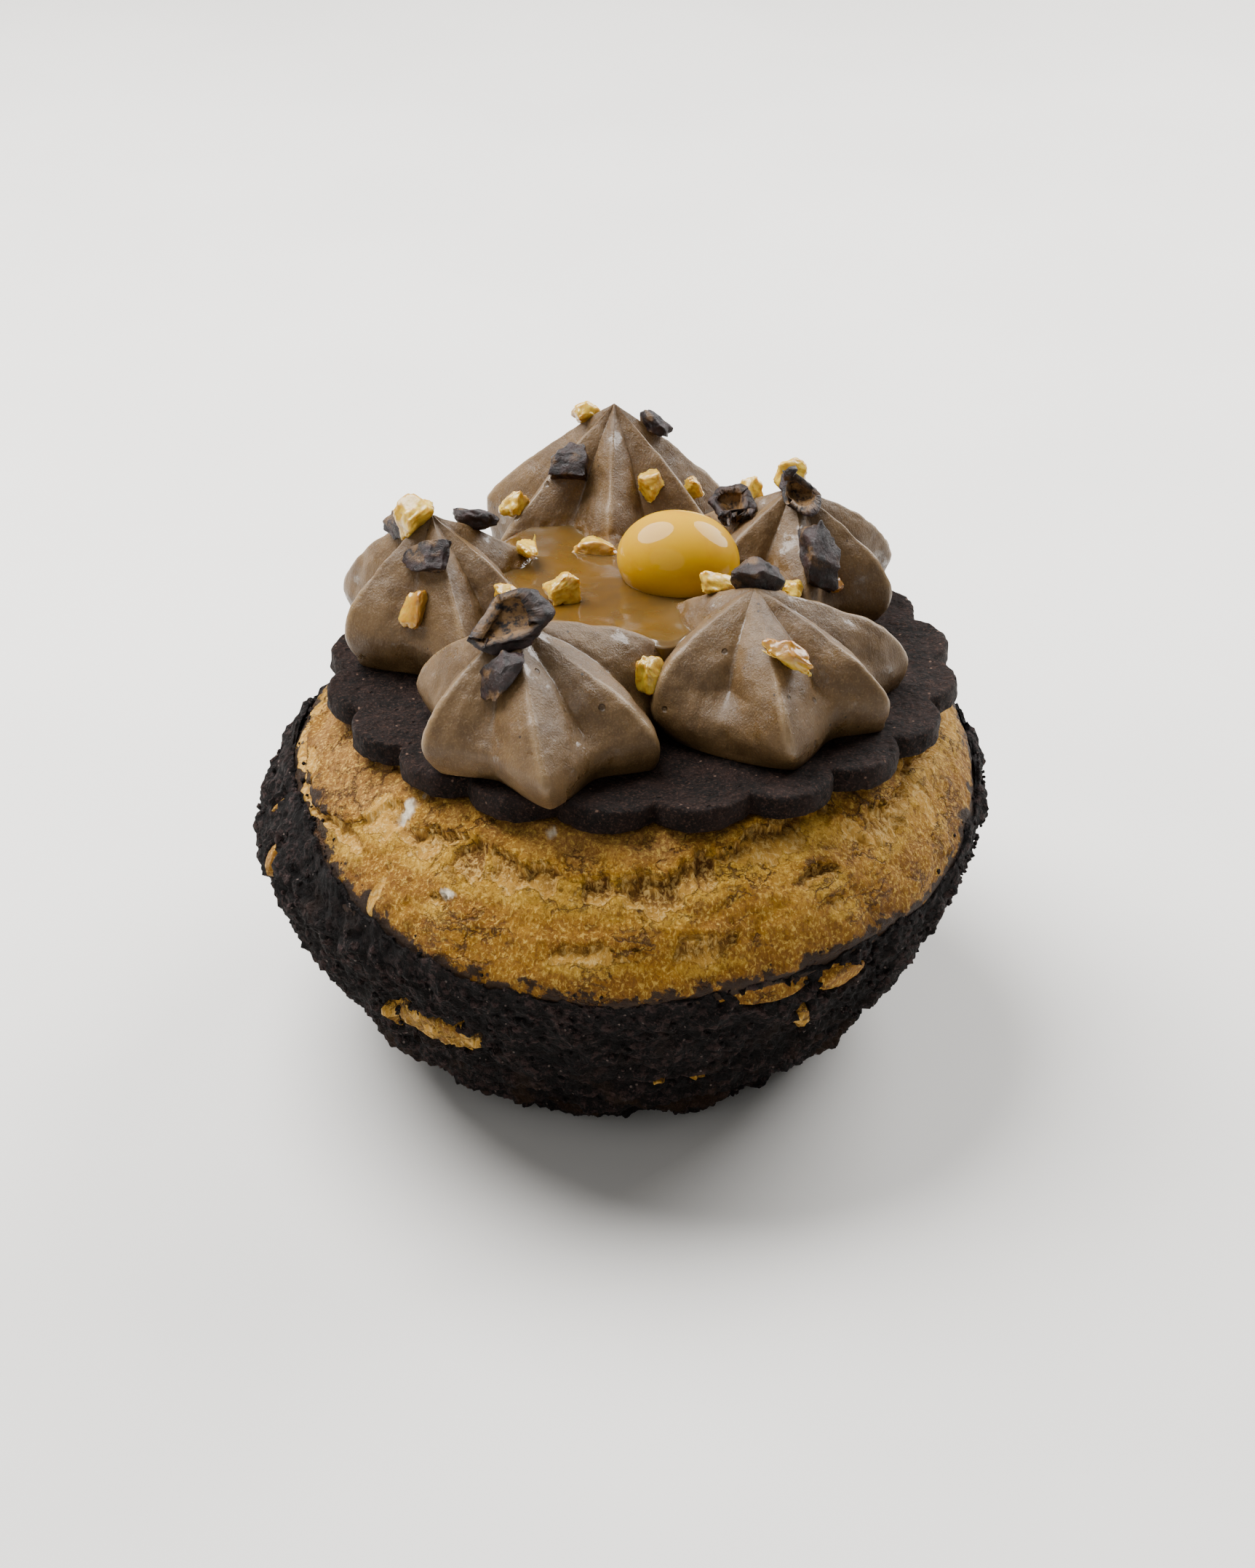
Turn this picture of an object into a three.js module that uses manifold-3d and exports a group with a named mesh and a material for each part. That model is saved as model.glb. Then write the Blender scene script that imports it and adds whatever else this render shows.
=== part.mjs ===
// A choux bun baked in a dark cocoa craquelin crust, turned crust side down. A fluted cocoa
// biscuit lies on top and carries five piped cream stars round a pool of caramel, with a glazed
// ball, cocoa nibs and chopped nuts.
// Millimetres, +Z up. The origin is the middle of the small flat patch that the bun rests on,
// and the front of the bun faces -Y.
import * as THREE from 'three';
import { mergeVertices } from 'three/addons/utils/BufferGeometryUtils.js';
import Module from 'manifold-3d';

const wasm = await Module();
wasm.setup();

// ---------------------------------------------------------------- driving dimensions

const GAP = 0.3; // air left between neighbouring pieces
const TURN = 2 * Math.PI;
const rad = THREE.MathUtils.degToRad;
const degrees = THREE.MathUtils.radToDeg;

// The bun's outline, from the foot that it rests on, out to the widest line, in to the crown.
const BUN = {
  widest: 40.7, widestZ: 26.1,
  foot: 22, footPower: 1.4,
  crown: 24.9, crownPower: 1.5,
  top: 40.4,
  columns: 60,
};
const BUN_ROWS = [4, 8, 13, 18, 22.5, 26, 28.5, 29.5, 31.5, 33, 34.5, 36, 38, BUN.top];
// The bun isn't round: its widest line leans, and its plan is a little oval and skewed.
const LEAN = { x: 1.45, y: -1.0, swell: 0.75 };
const OVAL = { once: -0.008, twice: -0.022, skew: 0.011 };

// The torn line round the shoulder, as [azimuth in degrees, height] from the left to the right.
const TEAR_LINE = [
  [205, 31.5], [219, 34], [238, 35.2], [265, 34.4], [277, 33.6], [294, 35.8], [315, 33.2], [345, 34.8],
];
const TEAR_DEPTH = 1.1;
const TEAR_WIDTH = 1.6;

// The crust: a shell over the lower bun, whose rim dips at the front and climbs at the left.
const CRUST = {
  thick: 1.5, proud: 0.45,
  rimZ: 29, dip: 3.4, climb: 4, climbAt: 195, climbSpread: 25,
  columns: 60,
};
const CRUST_ROWS = [0, 1.2, 3.5, 7, 11, 15, 19, 22.5, 26, CRUST.rimZ];
// Waves in the rim and crags on the crust: height of each wave, waves round the bun, waves per
// millimetre of height, and where they start.
const RIM_WAVES = [{ rise: 0.6, round: 7, start: 1 }, { rise: 0.35, round: 13, start: 0 }];
const CRAGS = [
  { rise: 0.35, round: 9, up: 1, start: 0, swell: 0.9 },
  { rise: 0.22, round: 17, up: -0.7, start: 0, swell: 0 },
];
// Places where the crust tore open in the oven and the choux shows: azimuth, height, length,
// width and slant in degrees.
const WINDOWS = [
  { azimuth: 241, z: 17.9, long: 9.2, wide: 4.2, slant: -12 },
  { azimuth: 307, z: 24.2, long: 9.4, wide: 3.6, slant: 32 },
  { azimuth: 299, z: 17.6, long: 4.6, wide: 3.4, slant: 40 },
];

// The fluted biscuit, and where its top face lies. Everything above it is built on that face.
const PLATE = { x: 1.8, y: 2.1, z: 41.3, tilt: -2.67 };
const BISCUIT = { tip: 34, notch: 31.7, thick: 2.7, edge: 0.7, flutes: 20, firstNotch: 218, flutePower: 0.8 };
const COLUMNS_PER_FLUTE = 6;

// The cream stars, each from a six-point nozzle. at: middle of the foot on the biscuit. reach: ridge
// radius. peak: where the tip leans to. belly: height of the widest ring as a share of the whole.
// dome: how full the flanks are. ridges: azimuth and reach of each lobe, and how far the valley
// after it closes at the foot.
const STARS = {
  cream_back: {
    at: [-4.2, 23.0], reach: 14.8, height: 20.5, peak: [1.2, 0], belly: 0.34, dome: 1.25,
    ridges: [[20, 0.96], [90, 0.75], [160, 0.98], [216, 0.98], [270, 1], [328, 0.98]],
  },
  cream_left: {
    at: [-19.7, 4.0], reach: 13.4, height: 15.8, peak: [-2.7, -0.6], belly: 0.24, dome: 1.6,
    ridges: [[20, 1.05], [90, 1], [152, 1.06], [206, 0.96], [280, 1], [325, 1]],
  },
  cream_front_left: {
    at: [-10.2, -18.6], reach: 13.8, height: 14.6, peak: [-2.6, -1.6], belly: 0.22, dome: 1.6,
    ridges: [[25, 1.12], [90, 0.95], [150, 1.06], [214, 1], [274, 1.19], [331, 1.04]],
  },
  cream_front_right: {
    at: [14.0, -10.0], reach: 14.0, height: 14.4, peak: [-2.4, -2.3], belly: 0.24, dome: 1.9,
    ridges: [[17, 1.1], [75, 1], [142, 1.1], [216, 1.08, 0.85], [275, 1.2], [330, 1]],
  },
  cream_right: {
    at: [13.6, 13.5], reach: 13.6, height: 15.5, peak: [2.8, -2.5], belly: 0.24, dome: 1.8,
    ridges: [[20, 1.06], [90, 1], [150, 1], [225, 1], [283, 1], [338, 1.02]],
  },
};
const STAR_FOOT = 0.9; // foot radius as a share of the widest ring
const VALLEY = 0.73; // valley radius as a share of the ridge radius
const RIDGE_SHARPNESS = 1.35;
const CLOSED_UP_TO = 0.45; // share of the height up to which a closing valley is filled
const COLUMNS_PER_RIDGE = 6;
const STAR_ROWS = [0, 0.1, 0.22, 0.34, 0.46, 0.58, 0.7, 0.82, 0.92];
const SIDEWAYS_CLEARANCE = 1.4; // a grown star widens by this times the gap, as its flanks lean

const POOL = { x: -1.2, y: 4.5, radius: 16, level: 8.8, round: 1.2, columns: 40 };
const BALL = { x: 3.9, y: 2.3, z: 11, half: [6.6, 5.8, 5.2], slope: -6, columns: 20, rows: 12 };

// The toppings: the star each one lies on, its azimuth round that star and its height as a share
// of the star's, or its place on the caramel. lift: how far its middle stands off the surface.
// size: length, width and thickness. spin: turn about the surface normal, where it has one.
const TOPPINGS = [
  { kind: 'nib', on: 'cream_back', azimuth: 20, up: 0.82, lift: 0.9, size: [3.6, 2.9, 2.2], spin: 30 },
  { kind: 'nib', on: 'cream_back', azimuth: 222, up: 0.74, lift: 0.9, size: [4.2, 4.4, 3.2] },
  { kind: 'nib', on: 'cream_right', azimuth: 172, up: 0.77, lift: 1.1, size: [7.1, 5.2, 3.2], spin: 15 },
  { kind: 'nib', on: 'cream_right', azimuth: 288, up: 0.95, lift: 1.0, size: [5.8, 4.4, 3.2], spin: 70 },
  { kind: 'nib', on: 'cream_right', azimuth: 292, up: 0.63, lift: 0.8, size: [7.8, 5.2, 2.4], spin: 60 },
  { kind: 'nib', on: 'cream_front_right', azimuth: 78, up: 0.95, lift: 1.2, size: [5.9, 4.4, 3.4] },
  { kind: 'nib', on: 'cream_left', azimuth: 158, up: 0.85, lift: 0.7, size: [3.7, 3.1, 2.2] },
  { kind: 'nib', on: 'cream_left', azimuth: 26, up: 0.84, lift: 0.9, size: [6.2, 3.6, 2.4] },
  { kind: 'nib', on: 'cream_left', azimuth: 260, up: 0.78, lift: 0.6, size: [6.4, 3.4, 2.2], spin: 25 },
  { kind: 'nib', on: 'cream_front_left', azimuth: 240, up: 0.97, lift: 0.9, size: [9.4, 6.6, 3.6], spin: 15 },
  { kind: 'nib', on: 'cream_front_left', azimuth: 254, up: 0.73, lift: 0.5, size: [6.5, 4.4, 2.4], spin: 70 },
  { kind: 'nut', on: 'cream_back', azimuth: 154, up: 0.88, lift: 0.7, size: [3.2, 2.6, 2.4] },
  { kind: 'nut', on: 'cream_back', azimuth: 310, up: 0.63, lift: 0.7, size: [3.0, 4.1, 2.6] },
  { kind: 'nut', on: 'cream_back', azimuth: 336, up: 0.56, lift: 0.6, size: [2.6, 2.9, 2.2] },
  { kind: 'nut', on: 'cream_back', azimuth: 212, up: 0.5, lift: 1.0, size: [3.2, 3.6, 2.8] },
  { kind: 'nut', on: 'cream_right', azimuth: 146, up: 0.83, lift: 1.5, size: [2.8, 2.2, 2.8] },
  { kind: 'nut', on: 'cream_right', azimuth: 92, up: 0.97, lift: 2.2, size: [3.9, 3.2, 3.6] },
  { kind: 'nut', on: 'cream_right', azimuth: 278, up: 0.5, lift: 1.0, size: [2.8, 2.2, 2.2] },
  { kind: 'nut', on: 'cream_left', azimuth: 16, up: 0.62, lift: 0.8, size: [3.7, 2.7, 2.2], spin: -25 },
  { kind: 'nut', on: 'cream_front_right', azimuth: 132, up: 0.8, lift: 1.2, size: [5.4, 2.8, 2.6], spin: 40 },
  { kind: 'nut', on: 'cream_left', azimuth: 170, up: 0.93, lift: 1.3, size: [3.8, 5.2, 3.6] },
  { kind: 'nut', on: 'cream_left', azimuth: 248, up: 0.48, lift: 0.4, size: [3.4, 4.2, 2.4], spin: 20 },
  { kind: 'nut', on: 'cream_front_left', azimuth: 12, up: 0.48, lift: 0.6, size: [3.9, 4.3, 2.4] },
  { kind: 'nut', on: 'cream_front_right', azimuth: 282, up: 0.7, lift: 0.7, size: [2.8, 5.4, 2.4], spin: 30 },
  { kind: 'nut', on: 'cream_right', azimuth: 308, up: 0.42, lift: 0.6, size: [2.6, 2.4, 2.2] },
  { kind: 'nut', on: 'cream_left', azimuth: 320, up: 0.55, lift: 0.9, size: [3.2, 3.0, 2.4] },
  { kind: 'nut', on: 'caramel_pool', x: -5.0, y: 9.6, lift: 0.2, size: [5.4, 4.0, 2.6], spin: 10 },
  { kind: 'nut', on: 'caramel_pool', x: -8.5, y: -3.0, lift: 1.3, size: [3.6, 3.2, 3.6], spin: 20 },
];
const TOPPING_ROUGHNESS = { nib: 0.22, nut: 0.12 };
const TOPPING_SHAPE = { nib: THREE.IcosahedronGeometry, nut: THREE.DodecahedronGeometry };

// ---------------------------------------------------------------- shared geometry

const clamp01 = (value) => Math.min(Math.max(value, 0), 1);
const mix = THREE.MathUtils.lerp;

// A repeatable stream of random numbers between -1 and 1.
function randomStream(seed) {
  let state = seed;
  return () => {
    state = (state * 16807) % 2147483647;
    return (2 * state) / 2147483647 - 1;
  };
}

// Turns a profile of [radius, height] pairs about Z, then moves each point by bend(azimuth, radius,
// height), which returns the finished [x, y, z]. A profile starts and ends on the axis.
function turned(profile, columns, bend) {
  const points = profile.map(([radius, height]) => new THREE.Vector2(radius, height));
  const geometry = new THREE.LatheGeometry(points, columns);
  const position = geometry.attributes.position;
  for (let i = 0; i < position.count; i += 1) {
    const x = position.getX(i);
    const z = position.getZ(i);
    const radius = Math.hypot(x, z);
    const azimuth = radius > 0 ? (Math.atan2(z, x) + TURN) % TURN : 0;
    position.setXYZ(i, ...bend(azimuth, radius, position.getY(i)));
  }
  return geometry;
}

// Makes a closed geometry into a solid, with its faces pointing out.
function solidOf(geometry) {
  const bare = geometry.clone();
  bare.deleteAttribute('normal');
  bare.deleteAttribute('uv');
  const merged = mergeVertices(bare, 1e-4);
  const index = merged.index.array;
  const position = merged.attributes.position;
  const corner = (i) => new THREE.Vector3().fromBufferAttribute(position, i);
  const triangles = [];
  let volume = 0;
  for (let i = 0; i < index.length; i += 3) {
    const [a, b, c] = [index[i], index[i + 1], index[i + 2]];
    if (a !== b && b !== c && c !== a) {
      triangles.push([a, b, c]);
      volume += corner(a).dot(corner(b).cross(corner(c)));
    }
  }
  const outward = volume < 0 ? triangles.map(([a, b, c]) => [a, c, b]) : triangles;
  return new wasm.Manifold(new wasm.Mesh({
    numProp: 3,
    vertProperties: Float32Array.from(position.array),
    triVerts: Uint32Array.from(outward.flat()),
  }));
}

// The largest single body of a solid, so that a cut leaves no loose scraps.
function largestBody(solid) {
  return solid.decompose().reduce((best, piece) => (piece.volume() > best.volume() ? piece : best));
}

function meshOf(solid, name, look) {
  const { vertProperties, triVerts } = solid.getMesh();
  const geometry = new THREE.BufferGeometry();
  geometry.setAttribute('position', new THREE.BufferAttribute(Float32Array.from(vertProperties), 3));
  geometry.setIndex(Array.from(triVerts));
  geometry.computeVertexNormals();
  const mesh = new THREE.Mesh(geometry, new THREE.MeshStandardMaterial(look));
  mesh.name = name;
  return mesh;
}

// The matrix of the biscuit's top face in the part's frame.
const plateMatrix = new THREE.Matrix4()
  .makeRotationX(rad(PLATE.tilt))
  .setPosition(PLATE.x, PLATE.y, PLATE.z);

// ---------------------------------------------------------------- choux bun and its crust

// The outline's radius at a height: two quarter superellipses that meet on the widest line.
function outlineRadius(z) {
  const below = z < BUN.widestZ;
  const [inner, power] = below ? [BUN.foot, BUN.footPower] : [BUN.crown, BUN.crownPower];
  const span = below ? BUN.widestZ : BUN.top - BUN.widestZ;
  const share = clamp01(Math.abs(z - BUN.widestZ) / span);
  return inner + (BUN.widest - inner) * (1 - share ** power) ** (1 / power);
}

// The height of the crust's rim.
function rimHeight(azimuth) {
  const fromClimb = (degrees(azimuth) - CRUST.climbAt) / CRUST.climbSpread;
  const climb = CRUST.climb * Math.exp(-fromClimb * fromClimb);
  const level = CRUST.rimZ + CRUST.dip * Math.sin(azimuth) + climb;
  return RIM_WAVES.reduce((z, { rise, round, start }) => z + rise * Math.sin(round * azimuth + start), level);
}

// How deep the torn line cuts in at an azimuth and height.
function tearDepth(azimuth, z) {
  const next = TEAR_LINE.findIndex(([at]) => at > degrees(azimuth));
  if (next < 1) {
    return 0;
  }
  const [[fromAt, fromZ], [toAt, toZ]] = [TEAR_LINE[next - 1], TEAR_LINE[next]];
  const tearZ = mix(fromZ, toZ, (degrees(azimuth) - fromAt) / (toAt - fromAt));
  const fromLine = (z - tearZ) / TEAR_WIDTH;
  return TEAR_DEPTH * Math.exp(-fromLine * fromLine);
}

// Moves a point of the round outline onto the leaning, oval bun.
function bunPoint(azimuth, radius, z) {
  const oval = 1 + OVAL.once * Math.cos(azimuth)
    + OVAL.twice * Math.cos(2 * azimuth) + OVAL.skew * Math.sin(2 * azimuth);
  const swell = Math.sin(Math.PI * LEAN.swell * clamp01(z / BUN.top)) * clamp01(radius / BUN.foot);
  const lift = swell * (LEAN.x * Math.cos(azimuth) + LEAN.y * Math.sin(azimuth));
  return [radius * oval * Math.cos(azimuth), radius * oval * Math.sin(azimuth), z + lift];
}

// Rows are named by their height under a level rim, then follow the real rim up and down.
function followRim(azimuth, z) {
  const rim = rimHeight(azimuth);
  if (z < CRUST.rimZ) {
    return (z / CRUST.rimZ) * rim;
  }
  return mix(rim, BUN.top, (z - CRUST.rimZ) / (BUN.top - CRUST.rimZ));
}

// The bun is set in under the crust by the crust's thickness, and grown to cut the crust.
function bunGeometry(grow) {
  const floor = CRUST.thick + GAP - grow;
  const profile = [[0, floor], [1, floor], ...BUN_ROWS.map((z) => [1, z]), [0, BUN.top]];
  return turned(profile, BUN.columns, (azimuth, share, row) => {
    const z = followRim(azimuth, row);
    const underCrust = row > CRUST.rimZ ? CRUST.proud : CRUST.thick + GAP;
    const inset = underCrust + tearDepth(azimuth, z) - grow;
    return bunPoint(azimuth, share * (outlineRadius(z) - inset), z);
  });
}

// A slab that reaches from the biscuit's underside upwards.
function slabOverBun() {
  const slab = new THREE.BoxGeometry(4 * BUN.widest, 4 * BUN.widest, BUN.top);
  slab.translate(0, 0, BUN.top / 2 - BISCUIT.thick - GAP);
  return solidOf(slab.applyMatrix4(plateMatrix));
}

function makeBun() {
  return solidOf(bunGeometry(0)).subtract(slabOverBun());
}

// How far the crust's crags stand out.
function crags(azimuth, z) {
  return CRAGS.reduce((total, { rise, round, up, start, swell }) => (
    total + rise * Math.sin(round * azimuth + up * z + start) * Math.cos(swell * z)
  ), 0);
}

// The lens that tears a window in the crust.
function windowGeometry({ azimuth, z, long, wide, slant }) {
  const hole = new THREE.SphereGeometry(0.5, 10, 6);
  hole.scale(long, 4 * CRUST.thick, wide);
  hole.rotateY(rad(slant));
  const angle = rad(azimuth);
  hole.rotateZ(angle + Math.PI / 2);
  const [x, y, height] = bunPoint(angle, outlineRadius(z) - CRUST.thick / 2, z);
  return hole.translate(x, y, height);
}

function makeCrust() {
  const profile = [[0, 0], ...CRUST_ROWS.map((z) => [1, z]), [0, CRUST.rimZ]];
  const outer = turned(profile, CRUST.columns, (azimuth, share, row) => {
    const z = followRim(azimuth, row);
    const relief = row > 0 ? crags(azimuth, z) : 0;
    return bunPoint(azimuth, share * (outlineRadius(z) + relief), z);
  });
  const shell = solidOf(outer).subtract(solidOf(bunGeometry(GAP)));
  const torn = WINDOWS.reduce((crust, spec) => crust.subtract(solidOf(windowGeometry(spec))), shell);
  return largestBody(torn);
}

// ---------------------------------------------------------------- cocoa biscuit

// The share of the full radius at an azimuth measured from a notch.
function fluteShare(azimuth) {
  const wave = Math.abs(Math.sin((BISCUIT.flutes * azimuth) / 2));
  return mix(BISCUIT.notch, BISCUIT.tip, wave ** BISCUIT.flutePower) / BISCUIT.tip;
}

function makeBiscuit() {
  const { tip, thick, edge, flutes } = BISCUIT;
  const profile = [
    [0, -thick], [tip - edge, -thick], [tip, edge - thick], [tip, -edge],
    [tip - 0.3 * edge, -0.3 * edge], [tip - edge, 0], [0, 0],
  ];
  return solidOf(turned(profile, flutes * COLUMNS_PER_FLUTE, (azimuth, radius, z) => {
    const reach = radius * fluteShare(azimuth);
    const turn = azimuth + rad(BISCUIT.firstNotch);
    return [reach * Math.cos(turn), reach * Math.sin(turn), z];
  }));
}

// ---------------------------------------------------------------- cream stars

// The share of the full reach at a share of the height: a tucked foot, a belly, then a dome.
function starReach(star, up) {
  if (up < star.belly) {
    return mix(STAR_FOOT, 1, Math.sin((Math.PI / 2) * (up / star.belly)));
  }
  return 1 - ((up - star.belly) / (1 - star.belly)) ** star.dome;
}

// A turn of 0 to 1 round the star gives the azimuth and reach there: the ridges lie at even steps
// of the turn, wherever their azimuths are.
function ridgeAt(star, turn, up) {
  const count = star.ridges.length;
  const place = turn * count;
  const first = Math.floor(place) % count;
  const share = place - Math.floor(place);
  const [fromAt, fromReach, closes = 0] = star.ridges[first];
  const [toAt, toReach] = star.ridges[(first + 1) % count];
  const step = (toAt - fromAt + 360) % 360;
  const toValley = 1 - Math.abs(2 * share - 1);
  const open = mix(1 - closes, 1, clamp01(up / CLOSED_UP_TO));
  const cut = 1 - (1 - VALLEY) * open * toValley ** RIDGE_SHARPNESS;
  return { azimuth: rad(fromAt + share * step), reach: mix(fromReach, toReach, share) * cut };
}

// The point of a star's surface at a turn and a share of its height, grown by a clearance.
function starPoint(star, turn, up, grow) {
  const { azimuth, reach } = ridgeAt(star, turn, up);
  const radius = star.reach * starReach(star, up) * reach + SIDEWAYS_CLEARANCE * grow;
  const [x, y] = star.at;
  const [leanX, leanY] = star.peak;
  return new THREE.Vector3(
    x + leanX * up + radius * Math.cos(azimuth),
    y + leanY * up + radius * Math.sin(azimuth),
    star.height * up,
  );
}

function starGeometry(star, grow) {
  const columns = star.ridges.length * COLUMNS_PER_RIDGE;
  const profile = [[0, 0], ...STAR_ROWS.map((up) => [1, up]), [0, 1]];
  const [x, y] = star.at;
  const [leanX, leanY] = star.peak;
  return turned(profile, columns, (azimuth, share, up) => {
    const z = up === 0 ? GAP - grow : star.height * up + grow;
    if (share === 0) {
      return [x + leanX * up, y + leanY * up, z];
    }
    const point = starPoint(star, azimuth / TURN, up, grow);
    return [point.x, point.y, z];
  });
}

// ---------------------------------------------------------------- toppings

// The turn at which a star's surface has a given azimuth.
function turnAt(star, degrees) {
  const count = star.ridges.length;
  for (let i = 0; i < count; i += 1) {
    const from = star.ridges[i][0];
    const step = (star.ridges[(i + 1) % count][0] - from + 360) % 360;
    const past = (degrees - from + 360) % 360;
    if (past < step) {
      return (i + past / step) / count;
    }
  }
  return 0;
}

// Where a topping lies, and the outward direction there.
function seatOf({ on, azimuth, up, x, y }) {
  if (on === 'caramel_pool') {
    return { point: new THREE.Vector3(x, y, POOL.level), normal: new THREE.Vector3(0, 0, 1) };
  }
  const star = STARS[on];
  const turn = turnAt(star, azimuth);
  const step = 0.02;
  const surface = (turnStep, upStep) => starPoint(star, (turn + 1 + turnStep) % 1, up + upStep, 0);
  const along = surface(step, 0).sub(surface(-step, 0));
  const upward = surface(0, step).sub(surface(0, -step));
  return { point: surface(0, 0), normal: along.cross(upward).normalize() };
}

// A broken piece: a polyhedron with uneven corners, lying on its seat.
function toppingGeometry(topping, number, grow) {
  const piece = new TOPPING_SHAPE[topping.kind](0.5);
  const random = randomStream(1000 + 37 * number);
  const position = piece.attributes.position;
  const moved = new Map();
  for (let i = 0; i < position.count; i += 1) {
    const corner = new THREE.Vector3().fromBufferAttribute(position, i);
    const key = corner.toArray().map((value) => value.toFixed(4)).join();
    if (!moved.has(key)) {
      moved.set(key, corner.clone().multiplyScalar(1 + TOPPING_ROUGHNESS[topping.kind] * random()));
    }
    position.setXYZ(i, ...moved.get(key).toArray());
  }
  piece.scale(...topping.size.map((side) => side + 2 * grow));
  piece.rotateZ(rad(topping.spin ?? 0));
  const { point, normal } = seatOf(topping);
  const level = new THREE.Vector3(-normal.y, normal.x, 0);
  const east = level.length() > 0 ? level.normalize() : new THREE.Vector3(1, 0, 0);
  const north = normal.clone().cross(east);
  const seat = new THREE.Matrix4().makeBasis(east, north, normal);
  seat.setPosition(point.addScaledVector(normal, topping.lift));
  return piece.applyMatrix4(seat);
}

function withToppings(solid, name, grow) {
  return TOPPINGS.reduce((whole, topping, number) => (
    topping.on === name ? whole.add(solidOf(toppingGeometry(topping, number, grow))) : whole
  ), solid);
}

// ---------------------------------------------------------------- caramel and ball

function makePool() {
  const { x, y, radius, level, round } = POOL;
  const profile = [
    [0, GAP], [radius, GAP], [radius, level - round], [radius - 0.3 * round, level - 0.3 * round],
    [radius - round, level], [0, level],
  ];
  return solidOf(turned(profile, POOL.columns, (azimuth, reach, z) => (
    [x + reach * Math.cos(azimuth), y + reach * Math.sin(azimuth), z]
  )));
}

function makeBall(grow) {
  const ball = new THREE.SphereGeometry(1, BALL.columns, BALL.rows);
  ball.scale(...BALL.half.map((half) => half + grow));
  ball.rotateY(rad(-BALL.slope));
  return solidOf(ball.translate(BALL.x, BALL.y, BALL.z));
}

// ---------------------------------------------------------------- the whole

const LOOKS = {
  choux: { color: 0xb97e2c, roughness: 0.85, metalness: 0 },
  crust: { color: 0x241a16, roughness: 0.95, metalness: 0 },
  biscuit: { color: 0x2e211e, roughness: 0.9, metalness: 0 },
  cream: { color: 0x7b5f3f, roughness: 0.35, metalness: 0 },
  caramel: { color: 0x8c5a16, roughness: 0.1, metalness: 0 },
  ball: { color: 0xe09a10, roughness: 0.12, metalness: 0 },
};

const plate = new THREE.Group();
plate.applyMatrix4(plateMatrix);
plate.add(meshOf(makeBiscuit(), 'cocoa_biscuit', LOOKS.biscuit));

plate.add(meshOf(makeBall(0), 'glazed_ball', LOOKS.ball));

// The ball, the stars and the caramel are each cut clear of the ones made before.
const madeSoFar = [makeBall(GAP)];
const cutClear = (solid) => largestBody(madeSoFar.reduce((rest, other) => rest.subtract(other), solid));

for (const [name, star] of Object.entries(STARS)) {
  const cream = (grow) => withToppings(solidOf(starGeometry(star, grow)), name, grow);
  plate.add(meshOf(cutClear(cream(0)), name, LOOKS.cream));
  madeSoFar.push(cream(GAP));
}

const pool = withToppings(makePool(), 'caramel_pool', 0);
plate.add(meshOf(cutClear(pool), 'caramel_pool', LOOKS.caramel));

const pastry = new THREE.Group();
pastry.add(meshOf(makeBun(), 'choux_bun', LOOKS.choux));
pastry.add(meshOf(makeCrust(), 'craquelin_crust', LOOKS.crust));
pastry.add(plate);

export default pastry;
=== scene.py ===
# %% [markdown]
# # A craquelin choux bun with piped cream
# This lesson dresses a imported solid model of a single-portion pastry. A choux bun lies crust side
# down in its dark cocoa crust. A fluted cocoa biscuit lies on it, with five piped stars of chocolate
# cream, a pool of caramel, a glazed ball, cocoa nibs and chopped nuts. The solid model gives the
# sizes and places. Here each piece gets the surface that the oven, the piping bag and the knife gave
# it. Sizes are in millimetres until a mesh is written, which is in metres.

# %% Load the fixed frame
import math
import random

import bpy
import numpy as np
from mathutils import Matrix, Vector, noise
from mathutils.bvhtree import BVHTree


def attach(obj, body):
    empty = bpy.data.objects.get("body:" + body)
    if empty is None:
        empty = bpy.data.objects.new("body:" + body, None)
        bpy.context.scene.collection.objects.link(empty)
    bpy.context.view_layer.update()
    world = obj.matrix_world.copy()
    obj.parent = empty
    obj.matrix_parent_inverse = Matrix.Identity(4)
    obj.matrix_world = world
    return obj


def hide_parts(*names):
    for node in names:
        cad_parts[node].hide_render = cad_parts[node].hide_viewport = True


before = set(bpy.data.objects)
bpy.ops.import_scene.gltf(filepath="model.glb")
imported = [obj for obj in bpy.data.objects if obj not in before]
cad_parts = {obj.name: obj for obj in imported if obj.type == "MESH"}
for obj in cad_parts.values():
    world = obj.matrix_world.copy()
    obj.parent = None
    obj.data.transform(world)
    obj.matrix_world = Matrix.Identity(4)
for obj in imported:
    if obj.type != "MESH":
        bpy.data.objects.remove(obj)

MM = 0.001
TURN = 2 * math.pi
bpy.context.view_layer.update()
print("nodes", sorted(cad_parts))

# %% [markdown]
# ## Reading and writing a mesh
# Baked and piped food has no flat sides, so most pieces start as a primitive whose points are then
# moved by a rule, as a sculptor would push clay. These helpers read a mesh's points as rows of
# numbers, write them back, and store one number for each point under a name that a material can read.

# %% Points and named values
def deselect():
    bpy.ops.object.select_all(action="DESELECT")


def points_of(piece):
    flat = np.empty(3 * len(piece.data.vertices), np.float32)
    piece.data.vertices.foreach_get("co", flat)
    return flat.reshape(-1, 3).astype(float)


def put(piece, points):
    piece.data.vertices.foreach_set("co", (points * MM).astype(np.float32).ravel())
    piece.data.update()


def keep_values(piece, name, values):
    layer = piece.data.attributes.new(name, "FLOAT", "POINT")
    layer.data.foreach_set("value", np.asarray(values, np.float32))


def edit(piece, mode, everything=True):
    """Goes into edit mode. What was picked before stays picked if everything is False."""
    bpy.context.view_layer.objects.active = piece
    bpy.ops.object.mode_set(mode="EDIT")
    bpy.ops.mesh.select_mode(type=mode)
    if everything:
        bpy.ops.mesh.select_all(action="SELECT")


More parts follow.
